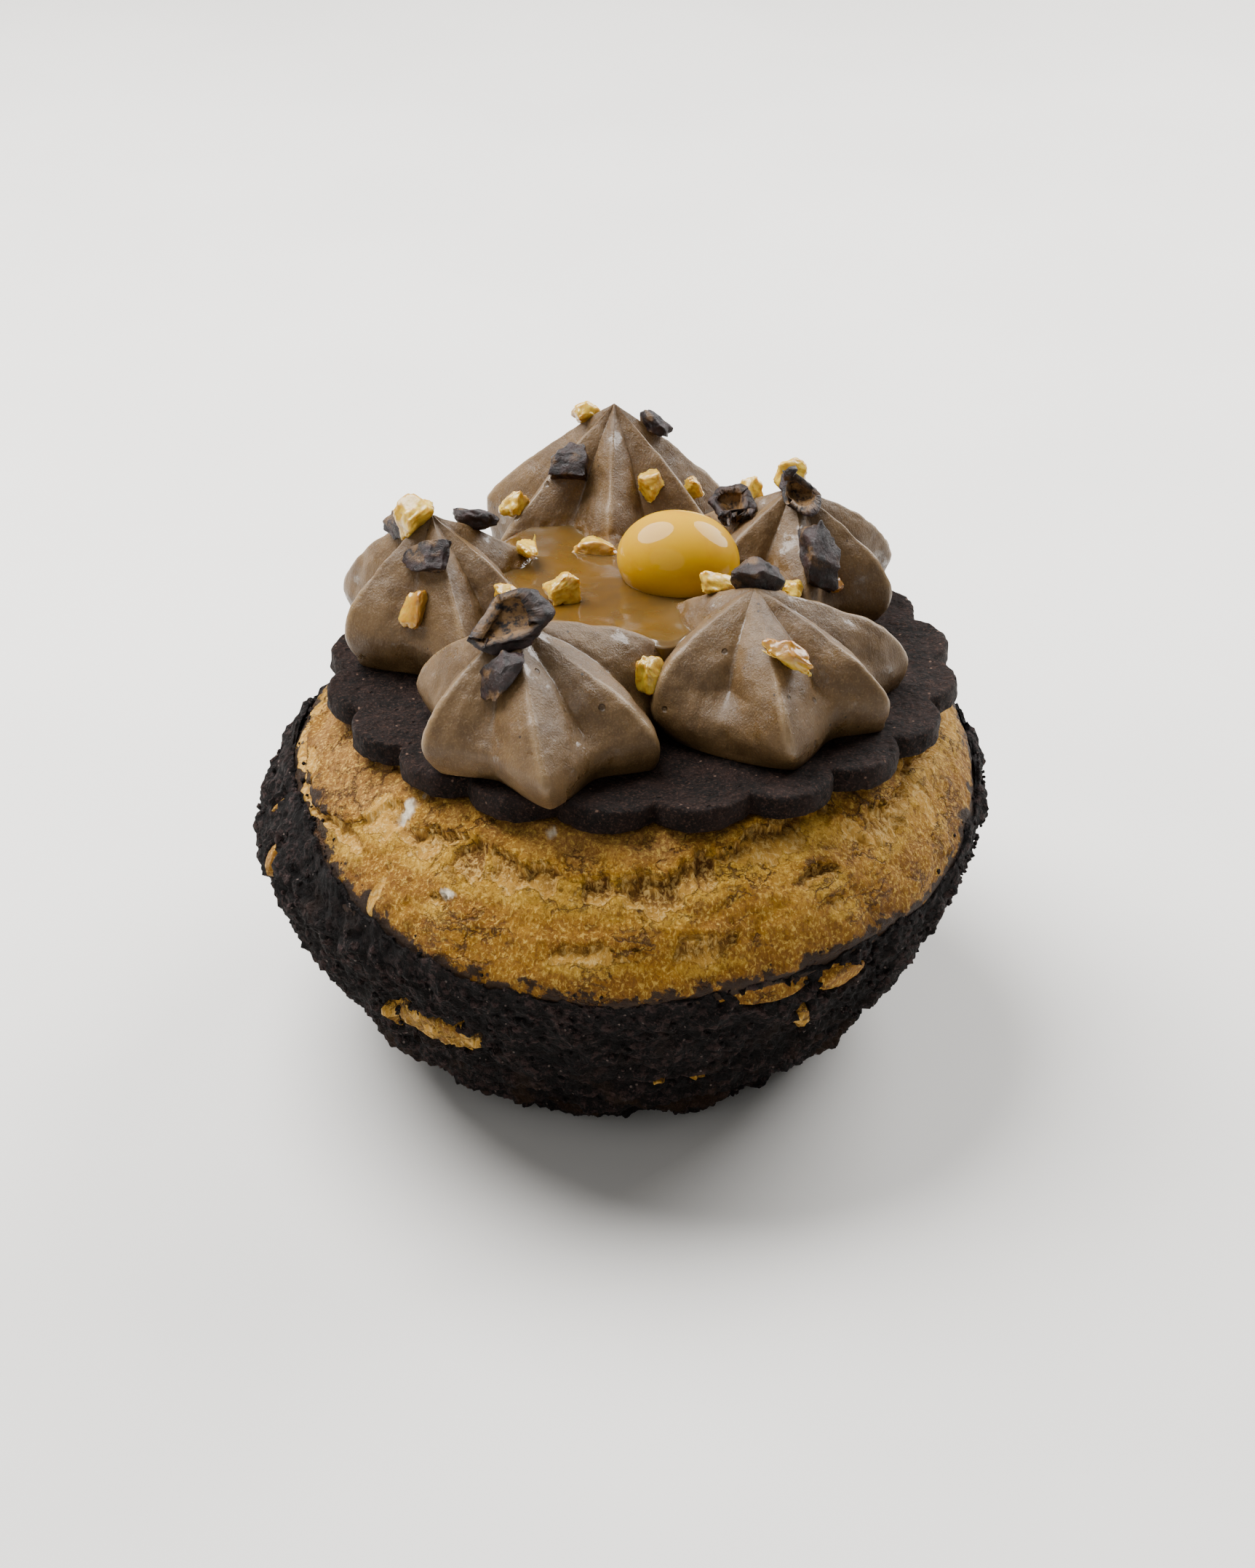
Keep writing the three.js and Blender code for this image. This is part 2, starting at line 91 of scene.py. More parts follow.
def leave_edit():
    bpy.ops.object.mode_set(mode="OBJECT")


def blend(low, high, value):
    """0 below low and 1 above high, with a soft step between. low may be the larger one."""
    share = np.clip((value - low) / (high - low), 0, 1)
    return share * share * (3 - 2 * share)


# %% [markdown]
# ## Noise
# Nothing that was baked repeats. Blender's own noise library gives smooth noise for swells and
# stains, and cell noise for crumbs. Each call names the size of its bumps, in the unit of its points,
# and a seed, so that every run gives the same pastry. Three noises side by side push points about in
# every direction, which makes a regular pattern crooked.

# %% Smooth noise and cells
SEED_STEP = Vector((7.31, 3.17, 5.73))


def soft_noise(points, size, seed, octaves=1):
    shift = SEED_STEP * seed
    return np.array([noise.fractal(Vector(p) / size + shift, 1.0, 2.0, octaves) for p in points.tolist()])


def push(points, size, seeds, octaves):
    return np.stack([soft_noise(points, size, seed, octaves) for seed in seeds], axis=1)


def cells(points, size, seed):
    """The distance to the middle of the nearest cell."""
    shift = SEED_STEP * seed
    return np.array([noise.voronoi(Vector(p) / size + shift)[0][0] for p in points.tolist()])


# %% [markdown]
# ## Turned pieces
# A UV sphere is the primitive for everything that was piped or baked in the round: it is closed, has
# no seam, and each of its rings can be moved to where the detail is. A rule gives the surface at a
# turn and at a share of the way from the bottom pole to the top pole. Its slope gives the outward
# direction, along which the relief is added. The sphere starts coarse and is subdivided in edit mode,
# which is far quicker than asking the primitive for every ring.

# %% Turn a piece
TINY = 1e-6
SLOPE_STEP = 1e-3
CUTS = 3


def turned(name, columns, rings, surface):
    """A closed piece with CUTS + 1 times as many columns and rings as are asked for."""
    deselect()
    bpy.ops.mesh.primitive_uv_sphere_add(segments=columns, ring_count=rings, radius=1)
    piece = bpy.context.object
    piece.name = piece.data.name = name
    edit(piece, "VERT")
    bpy.ops.mesh.subdivide(number_cuts=CUTS)
    leave_edit()
    ball = points_of(piece)
    ball /= np.linalg.norm(ball, axis=1, keepdims=True)
    off_pole = np.hypot(ball[:, 0], ball[:, 1]) > TINY
    turn = np.where(off_pole, np.arctan2(ball[:, 1], ball[:, 0]) % TURN, 0)
    share = np.arccos(np.clip(-ball[:, 2], -1, 1)) / math.pi
    higher, lower = np.minimum(share + SLOPE_STEP, 1), np.maximum(share - SLOPE_STEP, 0)
    across = surface((turn + SLOPE_STEP) % TURN, share) - surface((turn - SLOPE_STEP) % TURN, share)
    outward = np.cross(across, surface(turn, higher) - surface(turn, lower))
    outward /= np.maximum(np.linalg.norm(outward, axis=1, keepdims=True), TINY)
    return piece, turn, share, surface(turn, share), outward


def finish_piece(piece, slot, *nodes):
    """Smooth shading, the body that carries the piece and the solids it stands for. The slot is not used."""
    piece.data.shade_smooth()
    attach(piece, "root")
    if nodes:
        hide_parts(*nodes)
    print(piece.name, len(piece.data.loop_triangles) or len(piece.data.polygons), "faces",
          [round(side / MM, 1) for side in piece.dimensions])


# %% [markdown]
# ## Shader parts
# Several finishes share the same effects, such as grain, specks and crumbs. Each is a node group with
# named inputs, built once, that puts out only masks and heights. A small helper adds a node, sets its
# values and links its sockets.

# %% Add nodes
def add(tree, kind, sockets=None, **settings):
    made = tree.nodes.new(kind)
    for name, value in settings.items():
        setattr(made, name, value)
    for name, value in (sockets or {}).items():
        if isinstance(value, bpy.types.NodeSocket):
            tree.links.new(value, made.inputs[name])
        else:
            made.inputs[name].default_value = value
    return made


def math_node(tree, operation, *values):
    return add(tree, "ShaderNodeMath", dict(enumerate(values)), operation=operation).outputs[0]


def to_range(tree, value, low, high, to_low=0.0, to_high=1.0):
    return add(tree, "ShaderNodeMapRange", {
        "Value": value, "From Min": low, "From Max": high, "To Min": to_low, "To Max": to_high,
    }, interpolation_type="SMOOTHSTEP").outputs[0]


def new_group(name, inputs, outputs=("Value",)):
    """An empty group, the values that it is given, and the sockets that it fills."""
    group = bpy.data.node_groups.new(name, "ShaderNodeTree")
    for label, value in inputs.items():
        socket = group.interface.new_socket(name=label, in_out="INPUT", socket_type="NodeSocketFloat")
        socket.default_value = value
    for label in outputs:
        group.interface.new_socket(name=label, in_out="OUTPUT", socket_type="NodeSocketFloat")
    return group, group.nodes.new("NodeGroupInput").outputs, group.nodes.new("NodeGroupOutput").inputs


# %% [markdown]
# Each pattern is placed by object coordinates, so it stays on the piece, and scaled from a size in
# millimetres. Some patterns are drawn out or pressed flat along the height, and some are pushed about
# by clouds of noise first, so that their cells get crooked sides.

# %% Place and scale a pattern
def place_and_scale(group, size):
    return add(group, "ShaderNodeTexCoord").outputs["Object"], math_node(group, "DIVIDE", 1 / MM, size)


def clouds(group, place, scale, detail, rough, **more):
    return add(group, "ShaderNodeTexNoise", {
        "Vector": place, "Scale": scale, "Detail": detail, "Roughness": rough, **more,
    }).outputs


def with_height_times(group, place, factor):
    parts = add(group, "ShaderNodeSeparateXYZ", {"Vector": place}).outputs
    height = math_node(group, "MULTIPLY", parts["Z"], factor)
    return add(group, "ShaderNodeCombineXYZ", {"X": parts["X"], "Y": parts["Y"], "Z": height}).outputs[0]


def vector_node(group, operation, sockets):
    return add(group, "ShaderNodeVectorMath", sockets, operation=operation).outputs[0]


def warped(group, size, warp, lying):
    place, scale = place_and_scale(group, size)
    cloud = clouds(group, place, math_node(group, "MULTIPLY", scale, 2.2), 4.0, 0.65)["Color"]
    far = math_node(group, "MULTIPLY", math_node(group, "MULTIPLY", size, warp), MM)
    shift = vector_node(group, "SUBTRACT", {0: cloud, 1: (0.5, 0.5, 0.5)})
    moved = vector_node(group, "ADD", {0: vector_node(group, "SCALE", {0: shift, "Scale": far}), 1: place})
    return with_height_times(group, moved, lying), scale


# %% [markdown]
# Grain is fractal noise. Specks light up the middles of only some cells of a Voronoi pattern. Patches
# are clouds cut off at a level, for stains and wet places. Felt is noise drawn out along the height,
# as the fibres of a dough that rose.

# %% Grain, specks, patches and felt
def make_grain():
    group, given, out = new_group("grain", {"Size mm": 1.0, "Detail": 4.0, "Rough": 0.6})
    place, scale = place_and_scale(group, given["Size mm"])
    group.links.new(clouds(group, place, scale, given["Detail"], given["Rough"])["Fac"], out["Value"])
    return group


def make_specks():
    group, given, out = new_group("specks", {"Size mm": 1.0, "Share": 0.2, "Radius": 0.25})
    place, scale = place_and_scale(group, given["Size mm"])
    cell = add(group, "ShaderNodeTexVoronoi", {"Vector": place, "Scale": scale}).outputs
    red = add(group, "ShaderNodeSeparateColor", {"Color": cell["Color"]}).outputs[0]
    chosen = math_node(group, "LESS_THAN", red, given["Share"])
    inner = math_node(group, "MULTIPLY", given["Radius"], 0.6)
    speck = to_range(group, cell["Distance"], given["Radius"], inner)
    group.links.new(math_node(group, "MULTIPLY", speck, chosen), out["Value"])
    return group


def make_patches():
    group, given, out = new_group("patches", {"Size mm": 5.0, "Level": 0.5, "Soft": 0.1})
    place, scale = place_and_scale(group, given["Size mm"])
    cloud = clouds(group, place, scale, 5.0, 0.6)["Fac"]
    high = math_node(group, "ADD", given["Level"], given["Soft"])
    group.links.new(to_range(group, cloud, given["Level"], high), out["Value"])
    return group


def make_felt():
    group, given, out = new_group("felt", {"Size mm": 0.3, "Upright": 0.4})
    place, scale = place_and_scale(group, given["Size mm"])
    drawn = with_height_times(group, place, given["Upright"])
    group.links.new(clouds(group, drawn, scale, 6.0, 0.7, Distortion=0.6)["Fac"], out["Value"])
    return group


GRAIN, SPECKS, PATCHES, FELT = make_grain(), make_specks(), make_patches(), make_felt()
print([group.name for group in bpy.data.node_groups])


# %% [markdown]
# Three more are for crusts. Crackle draws thin lines on the joints between crooked cells. Crumbs are
# round heights in the cells' middles. Flakes are terraces of skin: clouds cut into steps, with the
# step's height as one output and a painted shadow line at its foot as the other.

# %% Crackle, crumbs and flakes
def make_crackle():
    group, given, out = new_group("crackle", {"Size mm": 6.0, "Width": 0.04, "Warp": 0.9, "Lying": 1.8})
    place, scale = warped(group, given["Size mm"], given["Warp"], given["Lying"])
    cell = add(group, "ShaderNodeTexVoronoi", {"Vector": place, "Scale": scale}, feature="DISTANCE_TO_EDGE")
    group.links.new(to_range(group, cell.outputs["Distance"], given["Width"], 0.0), out["Value"])
    return group


def make_crumbs():
    group, given, out = new_group("crumbs", {"Size mm": 1.2, "Warp": 0.8, "Lying": 1.0})
    place, scale = warped(group, given["Size mm"], given["Warp"], given["Lying"])
    cell = add(group, "ShaderNodeTexVoronoi", {"Vector": place, "Scale": scale})
    group.links.new(to_range(group, cell.outputs["Distance"], 0.75, 0.1), out["Value"])
    return group


def make_flakes():
    group, given, out = new_group("flakes", {"Size mm": 6.0, "Steps": 7.0, "Lying": 1.8}, ("Value", "Edge"))
    place, scale = warped(group, given["Size mm"], 0.2, given["Lying"])
    level = math_node(group, "MULTIPLY", clouds(group, place, scale, 7.0, 0.62)["Fac"], given["Steps"])
    whole = math_node(group, "FLOOR", level)
    part = math_node(group, "SUBTRACT", level, whole)
    group.links.new(math_node(group, "ADD", whole, to_range(group, part, 0.85, 1.0)), out["Value"])
    # The Edge output is a thin band at the foot of each step, for a painted shadow line.
    before, after = to_range(group, part, 0.76, 0.86), to_range(group, part, 0.97, 0.9)
    group.links.new(math_node(group, "MULTIPLY", before, after), out["Edge"])
    return group


CRACKLE, CRUMBS, FLAKES = make_crackle(), make_crumbs(), make_flakes()
print([group.name for group in bpy.data.node_groups])


# %% [markdown]
# A finish is a material with one Principled shader. Its constant values are set on the shader itself.
# Colours are named as they look on a screen, in eight-bit red, green and blue, and are turned into
# linear light here. Coats of colour are laid over one another, each where its mask is, and one Bump
# node takes the heights, each with its weight.

# %% Build a finish
MIX_UNDER, MIX_OVER, MIX_OUT = 6, 7, 2  # a Mix node's sockets for colours


def linear(colour):
    shares = [channel / 255 for channel in colour]
    return (*(s / 12.92 if s <= 0.04045 else ((s + 0.055) / 1.055) ** 2.4 for s in shares), 1)


class Finish:
    def __init__(self, name, **constants):
        self.material = bpy.data.materials.new(name)
        self.material.use_nodes = True
        self.tree = self.material.node_tree
        self.shader = self.tree.nodes["Principled BSDF"]
        for socket, value in constants.items():
            self.shader.inputs[socket.replace("_", " ").title().replace("Ior", "IOR")].default_value = value

    def group(self, which, **values):
        made = add(self.tree, "ShaderNodeGroup", node_tree=which)
        for name, value in values.items():
            made.inputs[name.replace("_", " ")].default_value = value
        return made.outputs["Value"]

    def maths(self, operation, *values):
        return math_node(self.tree, operation, *values)

    def times(self, value, factor):
        return self.maths("MULTIPLY", value, factor)

    def value(self, name, factor=None):
        """What a piece keeps on its points under this name."""
        kept = add(self.tree, "ShaderNodeAttribute", attribute_name=name).outputs["Fac"]
        return kept if factor is None else self.times(kept, factor)

    def weighed(self, *parts):
        """The sum of the parts, each times its weight."""
        total = self.times(*parts[0])
        for value, weight in parts[1:]:
            total = self.maths("ADD", total, self.times(value, weight))
        return total

    def range(self, value, low, high, to_low=0.0, to_high=1.0):
        return to_range(self.tree, value, low, high, to_low, to_high)

    def mix(self, mask, under, over):
        made = add(self.tree, "ShaderNodeMix", {"Factor": mask}, data_type="RGBA")
        for socket, colour in ((made.inputs[MIX_UNDER], under), (made.inputs[MIX_OVER], over)):
            if isinstance(colour, bpy.types.NodeSocket):
                self.tree.links.new(colour, socket)
            else:
                socket.default_value = linear(colour)
        return made.outputs[MIX_OUT]

    def paint(self, under, *coats):
        for mask, over in coats:
            under = self.mix(mask, under, over)
        return under

    def link(self, value, socket):
        self.tree.links.new(value, self.shader.inputs[socket])

    def bump(self, height, depth_mm):
        made = add(self.tree, "ShaderNodeBump", {"Height": height, "Distance": depth_mm * MM})
        self.link(made.outputs["Normal"], "Normal")

    def dress(self, *pieces):
        for piece in pieces:
            piece.data.materials.clear()
            piece.data.materials.append(self.material)
        print(self.material.name, "on", [piece.name for piece in pieces])


# %% [markdown]
# ## The room
# A pale floor, a big soft light high up on the left and a little behind, a second one behind on the
# right that draws the edges of the cream, and a weak, very wide one in front. A little white light
# comes from all round.

# %% Floor and lights
FLOOR_SIZE = 4.0
FLOOR_DROP = 0.00002
LIGHTS = [
    # name, place, width in metres and power in watts
    ("key", (-0.20, 0.16, 0.42), 0.44, 8.2),
    ("back", (0.30, 0.28, 0.30), 0.36, 4.2),
    ("front", (-0.26, -0.66, 0.50), 0.90, 2.0),
]
LIGHT_AIM = Vector((0, 0, 0.035))
ROOM_LIGHT = 0.17


def aim(thing, target):
    thing.rotation_euler = (target - thing.location).to_track_quat("-Z", "Y").to_euler()


deselect()
bpy.ops.mesh.primitive_plane_add(size=FLOOR_SIZE, location=(0, 0, -FLOOR_DROP))
floor = bpy.context.object
floor.name = "floor"
floor_finish = Finish("pale_floor", roughness=0.7)
cloudy = floor_finish.range(floor_finish.group(GRAIN, Size_mm=60.0, Detail=3.0, Rough=0.5), 0.35, 0.65)
floor_finish.link(floor_finish.mix(cloudy, (226, 223, 218), (222, 219, 214)), "Base Color")
floor_finish.dress(floor)

for name, place, size, power in LIGHTS:
    bpy.ops.object.light_add(type="AREA", location=place)
    lamp = bpy.context.object
    lamp.name, lamp.data.shape, lamp.data.size, lamp.data.energy = name, "DISK", size, power
    aim(lamp, LIGHT_AIM)

world = bpy.data.worlds.new("room")
world.use_nodes = True
world.node_tree.nodes["Background"].inputs["Color"].default_value = (1, 1, 1, 1)
world.node_tree.nodes["Background"].inputs["Strength"].default_value = ROOM_LIGHT
bpy.context.scene.world = world
print(len(LIGHTS), "lights")

# %% [markdown]
# The camera looks down at 31 degrees with a long lens, as for a plated dessert.

# %% Camera
CAMERA_AIM = Vector((0.276, 44.97, 0.0)) * MM
CAMERA_DISTANCE = 438 * MM
CAMERA_ELEVATION = math.radians(31.05)
LENS, SENSOR = 80.8, 36.0
NEAREST_SEEN = 0.01

back_off = Vector((0, -math.cos(CAMERA_ELEVATION), math.sin(CAMERA_ELEVATION)))
bpy.ops.object.camera_add(location=CAMERA_AIM + back_off * CAMERA_DISTANCE)
camera = bpy.context.object
camera.data.lens, camera.data.sensor_width, camera.data.clip_start = LENS, SENSOR, NEAREST_SEEN
aim(camera, CAMERA_AIM)
bpy.context.scene.camera = camera
print("camera at", [round(c, 4) for c in camera.location])

# %% [markdown]
# ## The bun's outline
# The bun swells out from a flat foot to its widest line and in again to the crown. Two quarter
# superellipses that meet on the widest line give that. The real bun also leans and is a little oval,
# because it was piped by hand. The crust covers it up to a rim that dips at the front.

# %% Bun and crust sizes
GAP = 0.3
BUN = dict(widest=40.7, widest_z=26.1, foot=22, foot_power=1.4, crown=24.9, crown_power=1.5, top=40.4)
LEAN = dict(x=1.45, y=-1.0, swell=0.75)
OVAL = dict(once=-0.008, twice=-0.022, skew=0.011)
CRUST = dict(thick=1.5, proud=0.45, rim_z=29)
# azimuth in degrees against the height of the rim there
RIM_LINE = [
    (0, 29.4), (45, 31.6), (90, 32.4), (140, 31.8), (167, 32.4), (188, 33.3), (208, 32.8), (220, 30.4),
    (235, 28.0), (251, 25.4), (270, 24.3), (286, 24.3), (301, 25.2), (322, 24.8), (344, 27.8),
]


def outline_radius(z):
    below = z < BUN["widest_z"]
    inner = np.where(below, BUN["foot"], BUN["crown"])
    power = np.where(below, BUN["foot_power"], BUN["crown_power"])
    span = np.where(below, BUN["widest_z"], BUN["top"] - BUN["widest_z"])
    share = np.clip(np.abs(z - BUN["widest_z"]) / span, 0, 1)
    return inner + (BUN["widest"] - inner) * (1 - share ** power) ** (1 / power)


def round_line(stops, turn):
    degrees, heights = zip(*stops)
    return np.interp(np.degrees(turn), degrees, heights, period=360)


def rim_height(turn):
    return round_line(RIM_LINE, turn) + 0.2 * np.sin(13 * turn)


def follow_rim(turn, row):
    """The height of a row that bends with the rim, so that rings run along it."""
    rim = rim_height(turn)
    over = rim + (BUN["top"] - rim) * (row - CRUST["rim_z"]) / (BUN["top"] - CRUST["rim_z"])
    return np.where(row < CRUST["rim_z"], row / CRUST["rim_z"] * rim, over)


def bun_point(turn, radius, z):
    cos, sin = np.cos(turn), np.sin(turn)
    oval = 1 + OVAL["once"] * cos + OVAL["twice"] * np.cos(2 * turn) + OVAL["skew"] * np.sin(2 * turn)
    rise, out = np.clip(z / BUN["top"], 0, 1), np.clip(radius / BUN["foot"], 0, 1)
    lift = np.sin(math.pi * LEAN["swell"] * rise) * out * (LEAN["x"] * cos + LEAN["y"] * sin)
    return np.stack([radius * oval * cos, radius * oval * sin, z + lift], axis=-1)


print("bun", 2 * BUN["widest"], "wide and", BUN["top"], "high, rim at", [height for _, height in RIM_LINE])

# %% [markdown]
# The biscuit lies on the bun at a small tilt, and everything above it is measured from its top face.

# %% The biscuit's plane
PLATE = dict(x=1.8, y=2.1, z=41.3, tilt=-2.67)
BISCUIT = dict(tip=34, notch=31.7, thick=2.7, edge=0.7, flutes=20, first_notch=218, power=0.8)
plate = Matrix.Translation((PLATE["x"], PLATE["y"], PLATE["z"]))
plate = plate @ Matrix.Rotation(math.radians(PLATE["tilt"]), 4, "X")


def on_plate(points):
    turn = np.array(plate.to_3x3())
    return points @ turn.T + np.array(plate.translation)


def underside(points):
    """The height of the biscuit's underside over each point."""
    slope = math.tan(math.radians(PLATE["tilt"]))
    return PLATE["z"] - BISCUIT["thick"] - GAP + (points[:, 1] - PLATE["y"]) * slope

print("biscuit's plane", [round(v, 2) for v in plate.translation], "tilted", PLATE["tilt"])

# %% [markdown]
# ## Torn pockets
# In the oven the bun bursts along a line round its shoulder. Pockets open there: the upper lip hangs
# over, and pale strands of crumb show inside. On the far side they are strewn along the same line by
# a seeded draw. Windows are the places where the crust tore and the bun bulged out. A few spots on
# the shoulder are dusted with flour.

# %% Pockets and windows
# azimuth, height, half the length, half the height, depth
POCKETS = [
    (217, 34.2, 3.1, 0.6, 0.8), (221.5, 36.6, 3.0, 1.2, 0.35), (234, 36.3, 2.3, 1.1, 0.7),
    (243, 35.9, 2.3, 1.5, 1.4), (250, 35.4, 2.0, 0.9, 0.9), (256, 36.2, 2.4, 0.5, 0.6),
    (265, 35.0, 2.6, 0.9, 1.5), (272, 35.5, 1.9, 0.45, 0.7), (276, 33.9, 2.6, 1.0, 1.4),
    (283.5, 35.6, 1.1, 1.2, 2.0), (290, 36.3, 2.6, 0.7, 0.9), (301, 36.7, 1.9, 1.3, 0.6),
    (303, 33.2, 2.7, 0.6, 1.6), (319, 33.8, 3.4, 1.3, 0.8), (332, 33.5, 1.1, 3.1, 0.4),
    (265, 30.0, 3.6, 0.8, 0.9), (282, 29.6, 2.9, 1.2, 1.0), (239.5, 32.9, 1.5, 0.5, 1.0),
    (280, 30.9, 1.6, 0.4, 0.6), (304.5, 30.5, 0.9, 0.6, 0.7), (229, 31.6, 0.5, 2.2, 0.5),
]
TEAR_LINE = [
    (20, 35.2), (60, 36.2), (100, 35.0), (140, 36.4), (180, 35.2), (208, 34.0), (217, 35.0), (221, 37.2),
    (234, 37.6), (243, 37.4), (250, 36.5), (256, 36.7), (265, 36.0), (272, 35.8), (276, 35.4), (283, 36.8),
    (290, 37.1), (301, 37.8), (312, 36.2), (319, 35.3), (332, 36.4), (345, 35.6),
]
# azimuth, height, half the length, half the height, slant in degrees
WINDOWS = [
    (240, 17.5, 5.6, 2.2, -8), (231.0, 17.0, 0.7, 1.9, 0), (291.5, 23.2, 4.6, 0.9, -3),
    (304.5, 22.2, 3.6, 1.7, 0), (299, 17.5, 1.2, 2.1, 20), (201, 27.4, 1.2, 2.0, 0),
    (193.5, 31.2, 0.7, 1.1, 0), (276, 11.0, 1.0, 0.7, 0), (283, 10.5, 1.5, 1.0, 0),
]
# azimuth, height, half the length, half the height
FLOUR = [(226, 37.6, 1.0, 1.0), (241, 33.4, 1.0, 0.35), (256, 38.4, 1.1, 0.3)]
FAR_FROM, FAR_SPAN = 350, 212
MM_PER_DEGREE = math.radians(BUN["widest"])


def tear_height(turn):
    return round_line(TEAR_LINE, turn)


def draw_far_pockets(count, seed):
    draw = random.Random(seed)
    found = []
    for i in range(count):
        degrees = (FAR_FROM + i * FAR_SPAN / count) % 360 + draw.uniform(-3, 3)
        z = float(tear_height(np.radians(degrees))) + draw.gauss(0, 0.8)
        found.append((degrees, z, draw.uniform(1.2, 3.2), draw.uniform(0.4, 1.2), draw.uniform(0.5, 1.6)))
    return found


POCKETS += draw_far_pockets(20, seed=5)


def spot(turn, z, azimuth, height, half_long, half_high, slant=0.0):
    """1 on the rim of an oval on the bun's side, and less inside it."""
    along = ((np.degrees(turn) - azimuth + 180) % 360 - 180) * MM_PER_DEGREE
    up = z - height
    cos, sin = math.cos(math.radians(slant)), math.sin(math.radians(slant))
    return np.hypot((along * cos + up * sin) / half_long, (up * cos - along * sin) / half_high)


def nearest_spot(turn, z, marks):
    return np.min([spot(turn, z, *mark) for mark in marks], axis=0)


print(len(POCKETS), "pockets", len(WINDOWS), "windows")

# %% [markdown]
# ## The choux bun
# Most of the rings lie in the band that shows between the crust and the biscuit. The relief has slow
# swells, terraces between flakes of skin, the pockets with strands of crumb inside, and a grain. The
# tear line is where the skin steps in. It is ragged, and torn only in places on the far side.

# %% Shape the bun
BUN_COLUMNS, BUN_RINGS = 200, 28
# share of the way from pole to pole, against the height of the row there
BUN_ROWS = [(0, 1.8), (0.03, 1.8), (0.07, 13), (0.22, 25), (0.27, 27.4), (0.96, 40.4), (1, 40.4)]
BUN_SPREAD = [(0, 0), (0.03, 1), (0.96, 1), (1, 0)]
TUCK_FROM, TUCK_TO = -0.6, -2.6
BULGE, BULGE_LONG, BULGE_HIGH = 2.1, 1.25, 1.4
# azimuths in degrees between which the skin is torn all along
FRONT = dict(open_from=205, open_to=222, close_from=306, close_to=318)


def along(stops, share):
    return np.interp(share, *zip(*stops))


def bun_surface(turn, share):
    row = along(BUN_ROWS, share)
    z = follow_rim(turn, row)
    under_crust = blend(CRUST["rim_z"] + TUCK_FROM, CRUST["rim_z"] + TUCK_TO, row)
    inset = CRUST["proud"] + under_crust * (CRUST["thick"] + GAP - CRUST["proud"])
    for azimuth, height, half_long, half_high, slant in WINDOWS:
        near = spot(turn, z, azimuth, height, half_long * BULGE_LONG, half_high * BULGE_HIGH, slant)
        inset = inset - under_crust * BULGE * blend(1.15, 0.55, near)
    return bun_point(turn, along(BUN_SPREAD, share) * (outline_radius(z) - inset), z)


bun, turn, share, base, outward = turned("choux_bun_skin", BUN_COLUMNS, BUN_RINGS, bun_surface)
z = follow_rim(turn, along(BUN_ROWS, share))
shown = blend(0.16, 0.22, share) * blend(0.97, 0.95, share)
ragged = soft_noise(base, 1.6, 3, 4)
above_tear = z - tear_height(turn) - 0.9 * soft_noise(base, 4.0, 5, 2) - 0.5 * ragged
in_front = (blend(FRONT["open_from"], FRONT["open_to"], np.degrees(turn))
            * blend(FRONT["close_to"], FRONT["close_from"], np.degrees(turn)))
torn = np.maximum(in_front, blend(-0.25, 0.2, soft_noise(base, 14.0, 7))) * shown
print("share of the skin that tore", round(float(torn[shown > 0.5].mean()), 3))

# %% [markdown]
# A pocket is deepest under its upper lip, and the lip stands proud of it. Under each pocket the skin
# is stretched and pale. Between the pockets a narrow ribbon of crumb is open along the tear line, wide
# in some places and closed in others. How far each point lies inside an opening is kept for the colour.

# %% Open the pockets
EDGE_FIELD = 0.45
FAR_OFF = 9.0
hollow = np.zeros(len(base))
lip = np.zeros(len(base))
nearest = np.full(len(base), FAR_OFF)
stretched = 0.7 * torn * blend(0.2, -0.3, above_tear) * blend(-4.0, -1.2, above_tear)
for azimuth, height, half_long, half_high, depth in POCKETS:
    reach = spot(turn, z, azimuth, height, half_long, half_high) + 0.8 * ragged
    floor_depth = 0.6 * depth * (0.25 + 0.75 * blend(-1.0, 0.7, (z - height) / half_high))
    hollow = np.maximum(hollow, floor_depth * blend(1.08, 0.92, reach))
    nearest = np.minimum(nearest, reach - 1 + EDGE_FIELD)
    over = spot(turn, z, azimuth, height + half_high + 0.35, half_long + 0.5, 0.8) + 0.4 * ragged
    lip = np.maximum(lip, min(depth, 1.0) * blend(1.3, 0.5, over))
    wide = spot(turn, z, azimuth, height - 0.7 * half_high - 0.5, half_long + 1.0, 0.8) + 0.6 * ragged
    stretched = np.maximum(stretched, 0.8 * blend(1.3, 0.5, wide))

ribbon_high = 0.2 + 1.9 * blend(-0.3, 0.45, soft_noise(base, 5.0, 9, 2))
down = -above_tear / ribbon_high
ribbon = torn * blend(-0.08, 0.08, down) * (1 - np.clip(down, 0, 1)) * blend(0.2, 0.9, ribbon_high)
hollow = np.maximum(hollow, 0.8 * ribbon)
beyond_ribbon = EDGE_FIELD + np.maximum(above_tear, -above_tear - ribbon_high)
nearest = np.minimum(nearest, np.where(torn * ribbon_high > 0.3, beyond_ribbon, FAR_OFF))
inside = blend(EDGE_FIELD + 0.1, EDGE_FIELD - 0.1, nearest)
print("share of the skin that is open", round(float(inside[shown > 0.5].mean()), 3))
